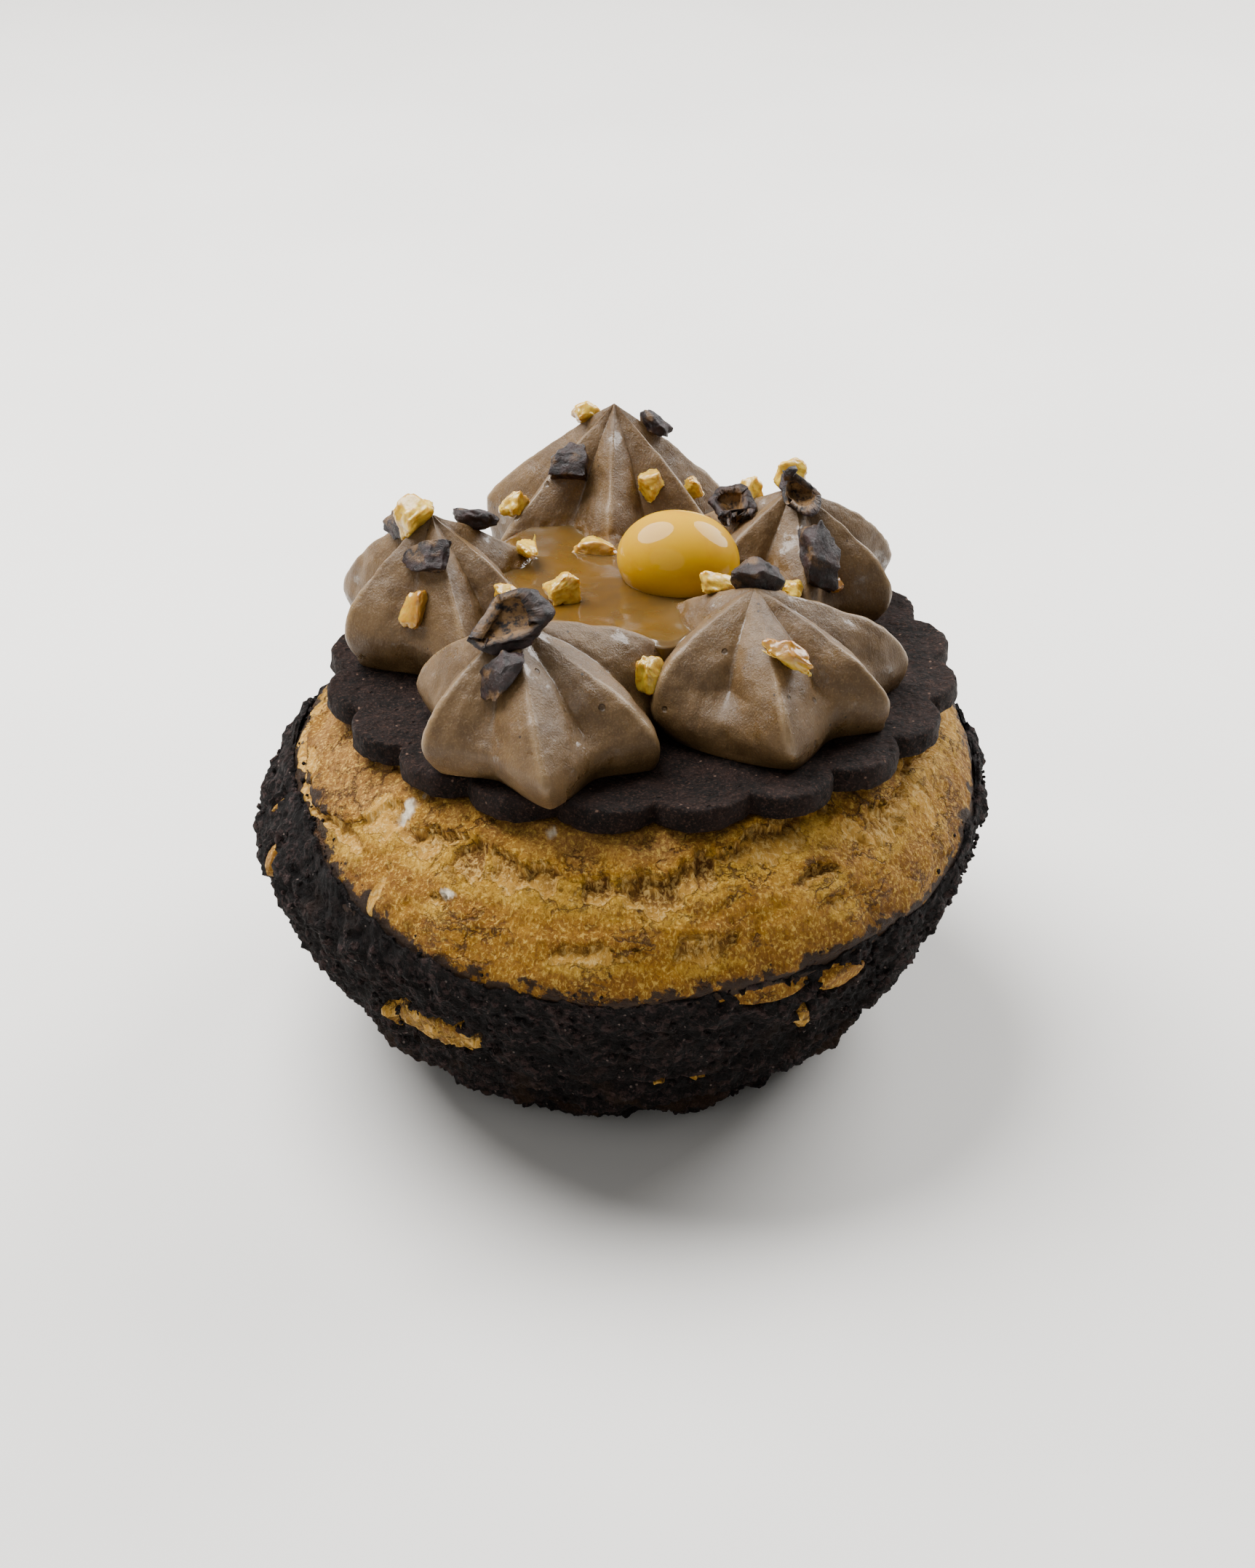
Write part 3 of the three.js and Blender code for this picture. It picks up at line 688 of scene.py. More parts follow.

# %% [markdown]
# Strands of crumb stand upright in the openings, because the crumb was drawn out as the bun rose. On
# the skin, noise that lies flat is cut at a few levels, which leaves thin flakes, each with a line at its
# foot that is kept for a painted shadow. Near the rim the relief fades, so that the crust stays clear of
# it, and nothing rises into the biscuit.

# %% Strands, flakes and grain
STRAND_WIDTH, STRAND_LENGTH = 0.42, 2.6
FLAKE_LEVELS = (-0.34, -0.2, -0.06, 0.08, 0.22)
across_strands = np.stack([turn * BUN["widest"] / STRAND_WIDTH, z / STRAND_LENGTH, np.zeros(len(z))], axis=1)
strands = soft_noise(across_strands, 1.0, 11, 3)
flaky = soft_noise((base + 1.1 * push(base, 2.0, (21, 22, 23), 3)) * np.array([1, 1, 1.9]), 6.0, 41, 4)
terraces = sum(blend(level - 0.012, level + 0.012, flaky) for level in FLAKE_LEVELS)
# A line at the foot of each flake, for a painted shadow.
flake_foot_shadow = np.max([np.exp(-((flaky - level + 0.03) / 0.022) ** 2) for level in FLAKE_LEVELS], axis=0)
step_out = np.exp(-np.clip(above_tear, 0, None) / 2.5) * blend(-0.1, 0.1, above_tear)
step_in = np.exp(np.clip(above_tear, None, 0) / 1.3) * blend(0.1, -0.1, above_tear)
relief = 0.35 * soft_noise(base, 15.0, 43) + 0.08 * terraces + torn * (0.35 * step_out - 0.35 * step_in)
relief += 0.3 * lip * (1 - inside) - hollow
relief += inside * 0.22 * strands + (1 - inside) * 0.06 * soft_noise(base, 0.7, 45, 3)
at_rim = blend(1.6, 0.0, z - rim_height(turn))
window_distance = nearest_spot(turn, z, WINDOWS)
bulged = (1 - shown) * blend(1.6, 1.1, window_distance)
relief = relief * shown * (1 - 0.8 * at_rim) - 0.15 * at_rim
relief += bulged * (0.25 * ragged + 0.3 * strands)
bun_points = base + outward * relief[:, None]
bun_points[:, 2] = np.minimum(bun_points[:, 2], underside(bun_points))
put(bun, bun_points)
print("relief from", round(float(relief.min()), 2), "to", round(float(relief.max()), 2))

# %% [markdown]
# What each layer did is stored on the points, so that the colour follows the relief. The skin is
# browner and darker near the crust, partly from browning and partly as painted shade on its lower side,
# and dark with cocoa where it touches the rim or the edge of a window.

# %% Keep what each layer did
above_rim = z - rim_height(turn) + 1.4 * ragged
in_window = blend(1.6, 1.1, window_distance)
rubbed_off = blend(3.4, 0.2, above_rim) * blend(-4, -2, above_rim) * (1 - 0.8 * in_window)
edge_of_window = bulged * (0.25 + 0.6 * blend(0.6, 1.2, window_distance + 0.3 * ragged))
torn_open = np.clip(0.5 + 0.5 * (EDGE_FIELD - nearest) / EDGE_FIELD, 0, 1)
keep_values(bun, "open", np.maximum(torn_open, bulged * (0.46 + 0.5 * ragged)))
# How deep the pocket is there, kept for the painted shade inside it.
keep_values(bun, "deep", np.clip(hollow / 1.2 - 0.4 * inside * strands, 0, 1))
keep_values(bun, "pale", np.clip(stretched * (1 - inside) + bulged * (0.5 + ragged), 0, 1))
keep_values(bun, "shoulder", blend(-0.2, 2.0, above_tear))
# The foot of each flake, kept for a painted shadow line.
keep_values(bun, "plate_foot_shadow", flake_foot_shadow * (1 - inside) * shown * (1 - at_rim))
keep_values(bun, "near_rim", np.maximum(rubbed_off, edge_of_window))
# Browner and darker towards the crust: partly browning, partly painted shade of the lower side.
keep_values(bun, "browned_and_shaded", blend(13, 1, above_rim))
keep_values(bun, "flour", blend(1.1, 0.6, nearest_spot(turn, z, FLOUR) + 0.9 * ragged))
finish_piece(bun, "choux", "choux_bun")

# %% [markdown]
# Choux skin is golden where it is tight, pale yellow where it stretched beside a tear, tan and dusty on
# the shoulder, and browner and darker towards the crust, partly from browning and partly as painted
# shade. The crumb in the pockets is beige, painted darker deeper in as painted shade, with painted
# shadow in the narrow gaps between its fibres under the lip. Fine crack lines run only in some patches
# of the skin, and a painted shadow line runs along the foot of each flake. A felt of fine fibres lies
# over all of it, as bump and as colour.

# %% Choux masks
choux = Finish("baked_choux", roughness=0.62, specular_ior_level=0.2)
felt = choux.group(FELT, Size_mm=0.36, Upright=0.6)
fibre = choux.group(FELT, Size_mm=0.42, Upright=0.16)
fleck = choux.group(GRAIN, Size_mm=0.5, Detail=5.0, Rough=0.7)
mottle = choux.group(GRAIN, Size_mm=1.6, Detail=6.0, Rough=0.65)
stain = choux.group(GRAIN, Size_mm=6.0, Detail=6.0, Rough=0.65)
terrace = choux.group(FLAKES, Size_mm=7.0, Steps=7.0, Lying=2.6)
crackle = choux.group(CRACKLE, Size_mm=8.0, Width=0.04, Warp=0.6, Lying=2.8)
where = choux.group(PATCHES, Size_mm=7.0, Level=0.45, Soft=0.1)
is_open = choux.range(choux.maths("ADD", choux.value("open"), choux.times(fleck, 0.9)), 0.85, 1.0)
# Crack lines, and painted shadow lines at the feet of the flakes.
cracks_and_foot_shadows = choux.weighed(
    (choux.times(crackle, where), 0.9),
    (choux.times(terrace.node.outputs["Edge"], where), 0.6),
    (choux.value("plate_foot_shadow"), 0.15),
)
cracks_and_foot_shadows = choux.times(choux.maths("MINIMUM", cracks_and_foot_shadows, 1.0), choux.maths("SUBTRACT", 1.0, is_open))
# Painted shadow in the narrow gaps between the crumb's strands, where an opening is deep.
slot_shade = choux.times(choux.times(is_open, choux.range(choux.value("deep"), 0.2, 0.7)),
                    choux.range(fibre, 0.51, 0.43))
cocoa_dust = choux.range(choux.maths("ADD", choux.value("near_rim"), choux.times(fleck, 1.6)), 1.28, 1.42)
print(len(choux.tree.nodes), "nodes")

# %% [markdown]
# The colours lie over one another in the order in which they came about: the skin, its browning and
# painted shade towards the crust, where it stretched, its felt, the cocoa from the crust, the open crumb
# with its painted shade, the crack lines with the painted shadow lines at the flakes' feet, and the flour.

# %% Choux colours
gold = choux.paint(
    choux.mix(choux.range(stain, 0.38, 0.62), (162, 113, 8), (130, 83, 4)),
    (choux.range(mottle, 0.44, 0.62, 0.0, 0.3), (178, 127, 20)),
)
tan = choux.mix(choux.range(mottle, 0.4, 0.65, 0.0, 0.6), (154, 112, 60), (120, 82, 38))
crumb = choux.paint(
    # The crumb is painted darker where the pocket is deep, as painted shade.
    choux.mix(choux.value("deep"), (192, 142, 52), (172, 120, 56)),
    (choux.range(fibre, 0.49, 0.6, 0.0, 0.8), (222, 184, 108)),
    (choux.times(slot_shade, 0.7), (104, 62, 28)),
)
choux.link(choux.paint(
    gold,
    (choux.value("shoulder", 0.75), tan),
    # Browning and painted shade towards the crust.
    (choux.value("browned_and_shaded", 0.5), (118, 74, 4)),
    (choux.value("pale", 0.6), (202, 158, 48)),
    (choux.range(felt, 0.49, 0.37, 0.0, 0.75), (104, 62, 2)),
    (choux.range(felt, 0.51, 0.63, 0.0, 0.75), (212, 172, 78)),
    (choux.value("near_rim", 0.75), (60, 34, 10)),
    (choux.times(cocoa_dust, 0.9), (30, 19, 13)),
    (is_open, crumb),
    # Crack lines, with the painted shadow lines at the flakes' feet.
    (choux.times(cracks_and_foot_shadows, 0.85), (72, 42, 6)),
    (choux.value("flour"), (226, 212, 186)),
), "Base Color")
choux.bump(choux.weighed(
    (felt, 0.9), (fleck, 0.5), (terrace, 0.12),
    (cracks_and_foot_shadows, -1.0), (choux.times(is_open, fibre), 1.2), (slot_shade, -0.8),
), 0.3)
choux.dress(bun)

# %% [markdown]
# ## The crust
# Craquelin is a sugar dough that crackles into crumbs as the bun grows under it. The crust is a shell:
# the rings run from the middle of its foot up the outside to the rim, over it, and back down the
# inside. Cells in three sizes make its lumps and crumbs. Low down it creased into rings where the bun
# settled. In the windows the shell sinks behind the bun's skin.

# %% Shape the crust
CRUST_COLUMNS, CRUST_RINGS = 190, 30
CRUST_ROWS = [(0, 0), (0.05, 0), (0.87, 29), (0.90, 28.8), (0.97, 1.5), (1, 1.5)]
CRUST_SPREAD = [(0, 0), (0.05, 1), (0.97, 1), (1, 0)]
CRUST_INSET = [(0, 0), (0.80, 0), (0.87, 0.12), (0.885, 0.5), (0.93, 1.5), (1, 1.5)]
CREASE_SIZE = np.array([8, 8, 1.5])
WINDOW_DEPTH = 1.9


def crust_height(turn, share):
    return follow_rim(turn, np.minimum(along(CRUST_ROWS, share), CRUST["rim_z"] - TINY))


def crust_surface(turn, share):
    z = crust_height(turn, share)
    radius = along(CRUST_SPREAD, share) * (outline_radius(z) - along(CRUST_INSET, share))
    return bun_point(turn, radius, z)


crust, turn, share, base, outward = turned("craquelin_crumb_crust", CRUST_COLUMNS, CRUST_RINGS, crust_surface)
z = crust_height(turn, share)
outer = blend(0.05, 0.09, share) * blend(0.91, 0.88, share)
rim_share = blend(0.80, 0.87, share) * blend(0.93, 0.90, share)
ragged = soft_noise(base, 1.6, 61, 4)
loose = base + 0.6 * push(base, 1.5, (62, 63, 64), 2)
crumb_middle = cells(loose, 1.5, 53)
relief = 1.4 * (0.45 - cells(loose, 4.2, 51)) + 0.85 * (0.4 - crumb_middle)
relief += 0.3 * (0.4 - cells(base, 0.8, 55))
relief += 1.1 * soft_noise(base / CREASE_SIZE, 1.0, 57, 3) * blend(18, 10, z)
relief += 0.3 * soft_noise(base, 0.6, 59, 2) + 0.4 * soft_noise(base, 6.0, 60)
window = blend(1.1, 0.85, nearest_spot(turn, z, WINDOWS) + 1.1 * ragged)
moved = (relief - WINDOW_DEPTH * window) * outer * (1 - 0.45 * rim_share)
crust_points = base + outward * moved[:, None]
crust_points[:, 2] += rim_share * (0.7 + 1.1 * soft_noise(base, 4.0, 65, 4) + 0.6 * (0.45 - crumb_middle))
crust_points[:, 2] = np.maximum(crust_points[:, 2], 0)
put(crust, crust_points)
# How low the relief lies there, kept for painted shade in the gaps.
keep_values(crust, "hollow", blend(0.15, -0.55, relief))
keep_values(crust, "low", blend(15, 5, z))
finish_piece(crust, "crust", "craquelin_crust")

# %% [markdown]
# The crust is nearly black from cocoa. The crumb tops are painted lighter and purplish as a painted
# highlight, and the gaps and the low places are painted darker as painted shade. Sugar catches the light.
# Low down a tan of choux shines through.

# %% Crust finish
crust_finish = Finish("cocoa_craquelin", specular_ior_level=0.15)
crumbly = crust_finish.group(GRAIN, Size_mm=0.5, Detail=6.0, Rough=0.75)
cloud = crust_finish.group(GRAIN, Size_mm=5.0, Detail=5.0, Rough=0.6)
coarse = crust_finish.group(CRUMBS, Size_mm=1.3, Warp=1.2, Lying=1.2)
fine = crust_finish.group(CRUMBS, Size_mm=0.5, Warp=1.2, Lying=1.2)
sugar = crust_finish.group(SPECKS, Size_mm=0.6, Share=0.07, Radius=0.28)
crumb_height = crust_finish.weighed((coarse, 1.0), (fine, 0.4), (crumbly, 0.9))
show_through = crust_finish.times(crust_finish.value("low"), crust_finish.range(cloud, 0.5, 0.62, 0, 0.35))
crust_finish.link(crust_finish.paint(
    # The crumb tops are painted lighter and purplish as a painted highlight, the gaps darker as painted
    # shade.
    crust_finish.mix(crust_finish.range(crumb_height, 0.85, 1.6), (14, 9, 7), (62, 46, 43)),
    (crust_finish.range(crumbly, 0.52, 0.68, 0.0, 0.7), (92, 73, 70)),
    # Painted shade where the relief lies low.
    (crust_finish.value("hollow", 0.8), (9, 6, 5)),
    (crust_finish.range(cloud, 0.5, 0.75, 0.0, 0.4), (46, 30, 20)),
    (show_through, (70, 46, 18)),
    (crust_finish.times(sugar, 0.6), (140, 124, 116)),
), "Base Color")
crust_finish.link(crust_finish.range(sugar, 0, 1, 0.75, 0.2), "Roughness")
crust_finish.bump(crumb_height, 0.6)
crust_finish.dress(crust)

# %% [markdown]
# Loose crumbs stand on the crust and break its outline, and a few small ones strayed over the rim onto
# the skin. One crumb is an ico sphere pushed out of round. It is copied by number over the crust, more
# of them near the rim, each turned and sized by a seeded draw, and the copies are one mesh.

# %% One crumb, many times
deselect()
bpy.ops.mesh.primitive_ico_sphere_add(subdivisions=1, radius=0.5)
one_crumb = bpy.context.object
crumb_shape = points_of(one_crumb)
crumb_faces = np.array([polygon.vertices[:] for polygon in one_crumb.data.polygons])
bpy.data.objects.remove(one_crumb)
print("a crumb has", len(crumb_faces), "faces")


def strewn(name, places, directions, sizes, seed):
    draw = np.random.default_rng(seed)
    points, faces = [], []
    for i, (place, direction, size) in enumerate(zip(places, directions, sizes)):
        shape = crumb_shape * (1 + 0.35 * soft_noise(crumb_shape, 0.45, seed + i)[:, None])
        axes = Vector(direction).to_track_quat("Z", "Y").to_matrix()
        spin = Matrix.Rotation(draw.uniform(0, TURN), 3, "Z")
        stretch = draw.uniform(0.75, 1.25, 3)
        points.append((shape * stretch * size) @ np.array(axes @ spin).T + place)
        faces.append(crumb_faces + i * len(crumb_shape))
    mesh = bpy.data.meshes.new(name)
    mesh.from_pydata((np.concatenate(points) * MM).tolist(), [], np.concatenate(faces).tolist())
    piece = bpy.data.objects.new(name, mesh)
    bpy.context.collection.objects.link(piece)
    return piece

# %% [markdown]
# The draws are made for all crumbs at once. Most lie below the rim, half sunk in, and the strays lie
# on the skin above it. Where a window is open, no crumb is laid.

# %% Strew the crumbs
CRUMB_COUNT, STRAY_COUNT = 700, 220
CRUMB_SINK = -0.1
BUN_MIDDLE = 26

draw = np.random.default_rng(71)
crumb_turn = draw.uniform(0, TURN, CRUMB_COUNT + STRAY_COUNT)
below = CRUST["rim_z"] * (1 - draw.beta(1.0, 2.2, CRUMB_COUNT) * 0.9)
above = CRUST["rim_z"] + 2.6 * draw.beta(1.0, 2.0, STRAY_COUNT)
crumb_row = np.concatenate([below, above])
stray = crumb_row > CRUST["rim_z"]
crumb_z = follow_rim(crumb_turn, crumb_row)
crumb_reach = outline_radius(crumb_z) + np.where(stray, -CRUST["proud"], CRUMB_SINK)
crumb_places = bun_point(crumb_turn, crumb_reach, crumb_z)
crumb_out = np.stack([np.cos(crumb_turn), np.sin(crumb_turn), 0.02 * (crumb_z - BUN_MIDDLE)], axis=1)
stray_sizes = 0.25 + 0.6 * draw.beta(1.2, 3.0, len(stray))
crumb_sizes = np.where(stray, stray_sizes, 0.3 + 0.9 * draw.beta(1.3, 3.0, len(stray)))
clear = nearest_spot(crumb_turn, crumb_z, WINDOWS) > 1.0
crumbs = strewn("crust_crumbs", crumb_places[clear], crumb_out[clear], crumb_sizes[clear], seed=73)
finish_piece(crumbs, "crust")
crust_finish.dress(crumbs)

# %% [markdown]
# ## The cocoa biscuit
# The biscuit was cut with a fluted cutter: a circle pulled into scallops, filled, and extruded to its
# thickness. Its rims are bevelled, because dough softens there. The top is extruded in place and
# scaled inward again and again, which lays rings in the part that shows.

# %% Outline of the biscuit
COLUMNS_PER_FLUTE = 10
TOP_RINGS = 20
RING_STEP = 0.5

deselect()
flutes = BISCUIT["flutes"]
bpy.ops.mesh.primitive_circle_add(
    vertices=flutes * COLUMNS_PER_FLUTE, radius=BISCUIT["tip"], fill_type="NOTHING")
biscuit = bpy.context.object
biscuit.name = biscuit.data.name = "fluted_cocoa_biscuit"
ring = points_of(biscuit)
azimuth = np.arctan2(ring[:, 1], ring[:, 0])
wave = np.abs(np.sin(flutes * azimuth / 2)) ** BISCUIT["power"]
reach = BISCUIT["notch"] + (BISCUIT["tip"] - BISCUIT["notch"]) * wave + 0.25 * soft_noise(ring, 9, 81)
start = azimuth + math.radians(BISCUIT["first_notch"])
put(biscuit, np.stack([reach * np.cos(start), reach * np.sin(start), 0 * reach], axis=1))
print("reach from", round(float(reach.min()), 2), "to", round(float(reach.max()), 2))


# %% [markdown]
# Edges and faces are picked by a rule on where they lie, and the edit tools then work on what is
# picked: first the two rims, then the top, ring by ring, and at last every face with four corners.

# %% Thickness, rims and rings
def pick(piece, domain, rule):
    """Selects the edges or faces whose middle passes the rule, in millimetres."""
    for layer in (piece.data.vertices, piece.data.edges, piece.data.polygons):
        layer.foreach_set("select", [False] * len(layer))
    co = points_of(piece) / MM
    for part in getattr(piece.data, domain):
        part.select = bool(rule(co[list(part.vertices)]))


edit(biscuit, "EDGE")
bpy.ops.mesh.edge_face_add()
bpy.ops.mesh.extrude_region_move(TRANSFORM_OT_translate={"value": (0, 0, -BISCUIT["thick"] * MM)})
leave_edit()
pick(biscuit, "edges", lambda ends: abs(ends[0, 2] - ends[1, 2]) < 0.1)
edit(biscuit, "EDGE", everything=False)
bpy.ops.mesh.bevel(offset=BISCUIT["edge"] * MM, segments=4, profile=0.6)
leave_edit()
pick(biscuit, "polygons", lambda corners: len(corners) > 20 and corners[:, 2].mean() > -0.1)
edit(biscuit, "FACE", everything=False)
for ring_number in range(TOP_RINGS):
    reach_now = BISCUIT["notch"] - ring_number * RING_STEP
    shrink = (reach_now - RING_STEP) / reach_now
    bpy.ops.mesh.extrude_region_move()
    bpy.ops.transform.resize(value=(shrink, shrink, 1))
bpy.ops.mesh.select_all(action="SELECT")
bpy.ops.mesh.normals_make_consistent(inside=False)
leave_edit()
pick(biscuit, "polygons", lambda corners: len(corners) == 4)
edit(biscuit, "FACE", everything=False)
bpy.ops.mesh.subdivide(number_cuts=1)
leave_edit()
print(len(biscuit.data.polygons), "faces")


# %% [markdown]
# Short dough bakes uneven. Two Displace modifiers with cloud noise do that, a slow one and a fine one.
# Then the biscuit is laid on the bun.

# %% Bake the biscuit uneven
def apply_modifier(piece, kind, **settings):
    made = piece.modifiers.new("shape", kind)
    for name, value in settings.items():
        setattr(made, name, value)
    bpy.context.view_layer.objects.active = piece
    bpy.ops.object.modifier_apply(modifier=made.name)


for size, strength in ((5.0, 0.5), (1.2, 0.5)):
    texture = bpy.data.textures.new(f"uneven_{size}", "CLOUDS")
    texture.noise_scale = size * MM
    apply_modifier(biscuit, "DISPLACE", texture=texture, strength=strength * MM, mid_level=0.5)
put(biscuit, on_plate(points_of(biscuit) / MM))
finish_piece(biscuit, "biscuit", "cocoa_biscuit")

# %% [markdown]
# Cocoa shortbread is matt and very dark brown, slightly red in the light, with a sandy grain, a few
# pale sugar specks and small pin holes, which are painted darker as painted shade.

# %% Biscuit finish
biscuit_finish = Finish("cocoa_biscuit", roughness=0.7, specular_ior_level=0.12)
sand = biscuit_finish.group(GRAIN, Size_mm=0.3, Detail=5.0, Rough=0.75)
cloud = biscuit_finish.group(GRAIN, Size_mm=3.0, Detail=6.0, Rough=0.65)
crumb_height = biscuit_finish.group(CRUMBS, Size_mm=0.8, Warp=0.9, Lying=1.0)
specks = biscuit_finish.group(SPECKS, Size_mm=0.7, Share=0.08, Radius=0.26)
pits = biscuit_finish.group(SPECKS, Size_mm=1.6, Share=0.3, Radius=0.2)
biscuit_finish.link(biscuit_finish.paint(
    biscuit_finish.mix(biscuit_finish.range(cloud, 0.35, 0.65), (14, 9, 7), (34, 22, 18)),
    (biscuit_finish.range(sand, 0.5, 0.66, 0.0, 0.75), (80, 58, 48)),
    (biscuit_finish.times(specks, 0.6), (132, 104, 88)),
    # Painted shade in the pin holes.
    (biscuit_finish.times(pits, 0.7), (10, 6, 5)),
), "Base Color")
biscuit_finish.bump(biscuit_finish.weighed((sand, 1.0), (crumb_height, 0.6), (pits, -1.0)), 0.4)
biscuit_finish.dress(biscuit)

# %% [markdown]
# ## The piped stars
# A six-point nozzle leaves a star with six ridges and deep valleys. It is fullest just above its foot,
# where the cream spread on the biscuit, and draws in to a tip where the bag was lifted. Ridges lie at
# uneven azimuths, because the bag turned. Low down the ridges are round; higher up they are crisp.

# %% Star sizes
# A ridge is its azimuth and its reach. It may also say how far the next valley closes at the foot,
# and how much fuller its shoulder is.
STARS = {
    "cream_back": dict(
        at=(-4.2, 23.0), reach=14.8, height=20.5, peak=(1.2, 0), belly=0.34, dome=1.25,
        ridges=[(20, 0.96), (90, 0.75), (160, 0.98), (216, 0.98), (270, 1), (328, 0.98)]),
    "cream_left": dict(
        at=(-19.7, 4.0), reach=13.4, height=15.8, peak=(-2.7, -0.6), belly=0.24, dome=1.6,
        ridges=[(20, 1.05), (90, 1), (152, 1.06), (206, 0.96), (280, 1), (325, 1)]),
    "cream_front_left": dict(
        at=(-10.2, -18.6), reach=13.8, height=14.6, peak=(-2.6, -1.6), belly=0.22, dome=1.6,
        ridges=[(25, 1.2, 0, 2.0), (90, 0.95), (150, 1.06), (214, 1), (274, 1.19), (331, 1.04)]),
    "cream_front_right": dict(
        at=(14.0, -10.0), reach=14.0, height=14.4, peak=(-2.4, -2.3), belly=0.24, dome=1.9,
        ridges=[(17, 1.1), (75, 1), (142, 1.1), (216, 1.08, 0.85, 1.15), (275, 1.2), (330, 1)]),
    "cream_right": dict(
        at=(13.6, 13.5), reach=13.6, height=15.5, peak=(2.8, -2.5), belly=0.24, dome=1.8,
        ridges=[(20, 1.06), (90, 1), (150, 1), (225, 1), (283, 1), (338, 1.02)]),
}
STAR_FOOT, VALLEY, HIGH_VALLEY, CLOSED_UP_TO = 0.9, 0.73, 0.64, 0.45
FLANK = 0.72
CREST_LOW, CREST_HIGH = 0.14, 0.05
CREASE_LOW, CREASE_HIGH = 0.4, 0.03
print(len(STARS), "stars")


# %% [markdown]
# A star's outline goes from ridge to ridge. Between two ridges it dips to a valley. The flank's curve
# has two roundings, one at the crest and one at the crease, and both get sharper with the height.

# %% Shape of a star
def star_reach(star, up, fullness):
    low = STAR_FOOT + (1 - STAR_FOOT) * np.sin(math.pi / 2 * np.clip(up / star["belly"], 0, 1))
    high = 1 - np.clip((up - star["belly"]) / (1 - star["belly"]), 0, 1) ** (star["dome"] * fullness)
    return np.where(up < star["belly"], low, high)


def star_cut(up, to_valley, closed):
    """What is left of the reach, between a ridge at 0 and a valley at 1."""
    crest = CREST_LOW + (CREST_HIGH - CREST_LOW) * blend(0.05, 0.5, up)
    crease = CREASE_LOW + (CREASE_HIGH - CREASE_LOW) * blend(0.25, 0.5, up)
    eased = 1 - (np.hypot(1 - to_valley, crease) - crease) / (np.hypot(1, crease) - crease)
    round_top = crest ** FLANK
    flank = (np.hypot(eased, crest) ** FLANK - round_top) / (np.hypot(1, crest) ** FLANK - round_top)
    valley = VALLEY + (HIGH_VALLEY - VALLEY) * blend(0.25, 0.5, up)
    still_open = 1 - closed * (1 - np.clip(up / CLOSED_UP_TO, 0, 1))
    return 1 - (1 - valley) * still_open * flank


def star_point(star, turn, up):
    """The point in the biscuit's frame, at a turn of 0 to 1 past the ridges and a share of the height."""
    ridges = [(*ridge, 0, 1)[:4] for ridge in star["ridges"]]
    count = len(ridges)
    azimuths, reaches, closes, fullness = (np.array(column, float) for column in zip(*ridges))
    place = np.asarray(turn) * count
    first = np.floor(place).astype(int) % count
    after = (first + 1) % count
    share = place - np.floor(place)
    cut = star_cut(up, 1 - np.abs(2 * share - 1), closes[first])
    reach = reaches[first] + share * (reaches[after] - reaches[first])
    full = fullness[first] + share * (fullness[after] - fullness[first])
    azimuth = np.radians(azimuths[first] + share * ((azimuths[after] - azimuths[first]) % 360))
    radius = star["reach"] * star_reach(star, up, full) * reach * cut
    return np.stack([
        star["at"][0] + star["peak"][0] * up + radius * np.cos(azimuth),
        star["at"][1] + star["peak"][1] * up + radius * np.sin(azimuth),
        star["height"] * up,
    ], axis=-1)


# %% [markdown]
# The relief of piped cream is small: it sags a little, and the nozzle drags faint lines down the
# ridges. Near the caramel the cream is wet and lumpy. How wet each point is, and where the valleys and
# the crests run, is kept for the finish.

# %% Pipe the stars
POOL = dict(x=-1.2, y=4.5, radius=16, level=8.8)
STAR_COLUMNS, STAR_RINGS = 60, 26
STAR_UP = [(0, 0), (0.04, 0), (0.97, 0.985), (1, 1)]
FOOT_SHARE, TIP_SHARE = 0.04, 1e-4


def make_star(name, star, seed):
    def surface(turn, share):
        spread = np.clip(share / FOOT_SHARE, 0, 1)[:, None]
        point = star_point(star, turn / TURN, along(STAR_UP, share))
        middle = np.array([*star["at"], 0])
        point = np.where(spread < 1, middle + (point - middle) * spread, point)
        point[:, 2] = np.maximum(point[:, 2], GAP / 3)
        tip = np.array([star["at"][0] + star["peak"][0], star["at"][1] + star["peak"][1], star["height"]])
        return on_plate(np.where((share > 1 - TIP_SHARE)[:, None], tip, point))

    piece, turn, share, base, outward = turned(f"{name}_star", STAR_COLUMNS, STAR_RINGS, surface)
    up = along(STAR_UP, share)
    drag = soft_noise(np.stack([turn * 9, 0.7 * base[:, 2] / 3, up], axis=1), 1.0, seed, 2)
    sag = soft_noise(base, 5.0, seed + 1, 2)
    local = star_point(star, turn / TURN, up)
    to_pool = np.hypot(local[:, 0] - POOL["x"], local[:, 1] - POOL["y"])
    wet = blend(1.6, 0.2, local[:, 2] - POOL["level"] + 0.8 * sag) * blend(19, 12, to_pool)
    relief = 0.30 * sag + 0.10 * drag * blend(0.8, 0.5, up) + 0.06 * soft_noise(base, 1.1, seed + 2, 2)
    relief += 0.5 * wet * soft_noise(base, 1.5, seed + 3, 2)
    put(piece, base + outward * (relief * blend(0.05, 0.12, share) * blend(1, 0.93, share))[:, None])
    place = turn / TURN * len(star["ridges"])
    to_valley = 1 - np.abs(2 * (place - np.floor(place)) - 1)
    keep_values(piece, "wet", wet)
    # Kept for painted shade and gloss in the valleys.
    keep_values(piece, "valley", blend(0.93, 0.99, to_valley) * blend(0.3, 0.5, up) * blend(0.97, 0.9, up))
    high_up = blend(0.1, 0.3, up) * blend(0.5, 0.8, 1 - up * 0.5)
    # Kept for a painted highlight and gloss along the crests.
    keep_values(piece, "crest", blend(0.09, 0.02, to_valley) * high_up)
    return piece


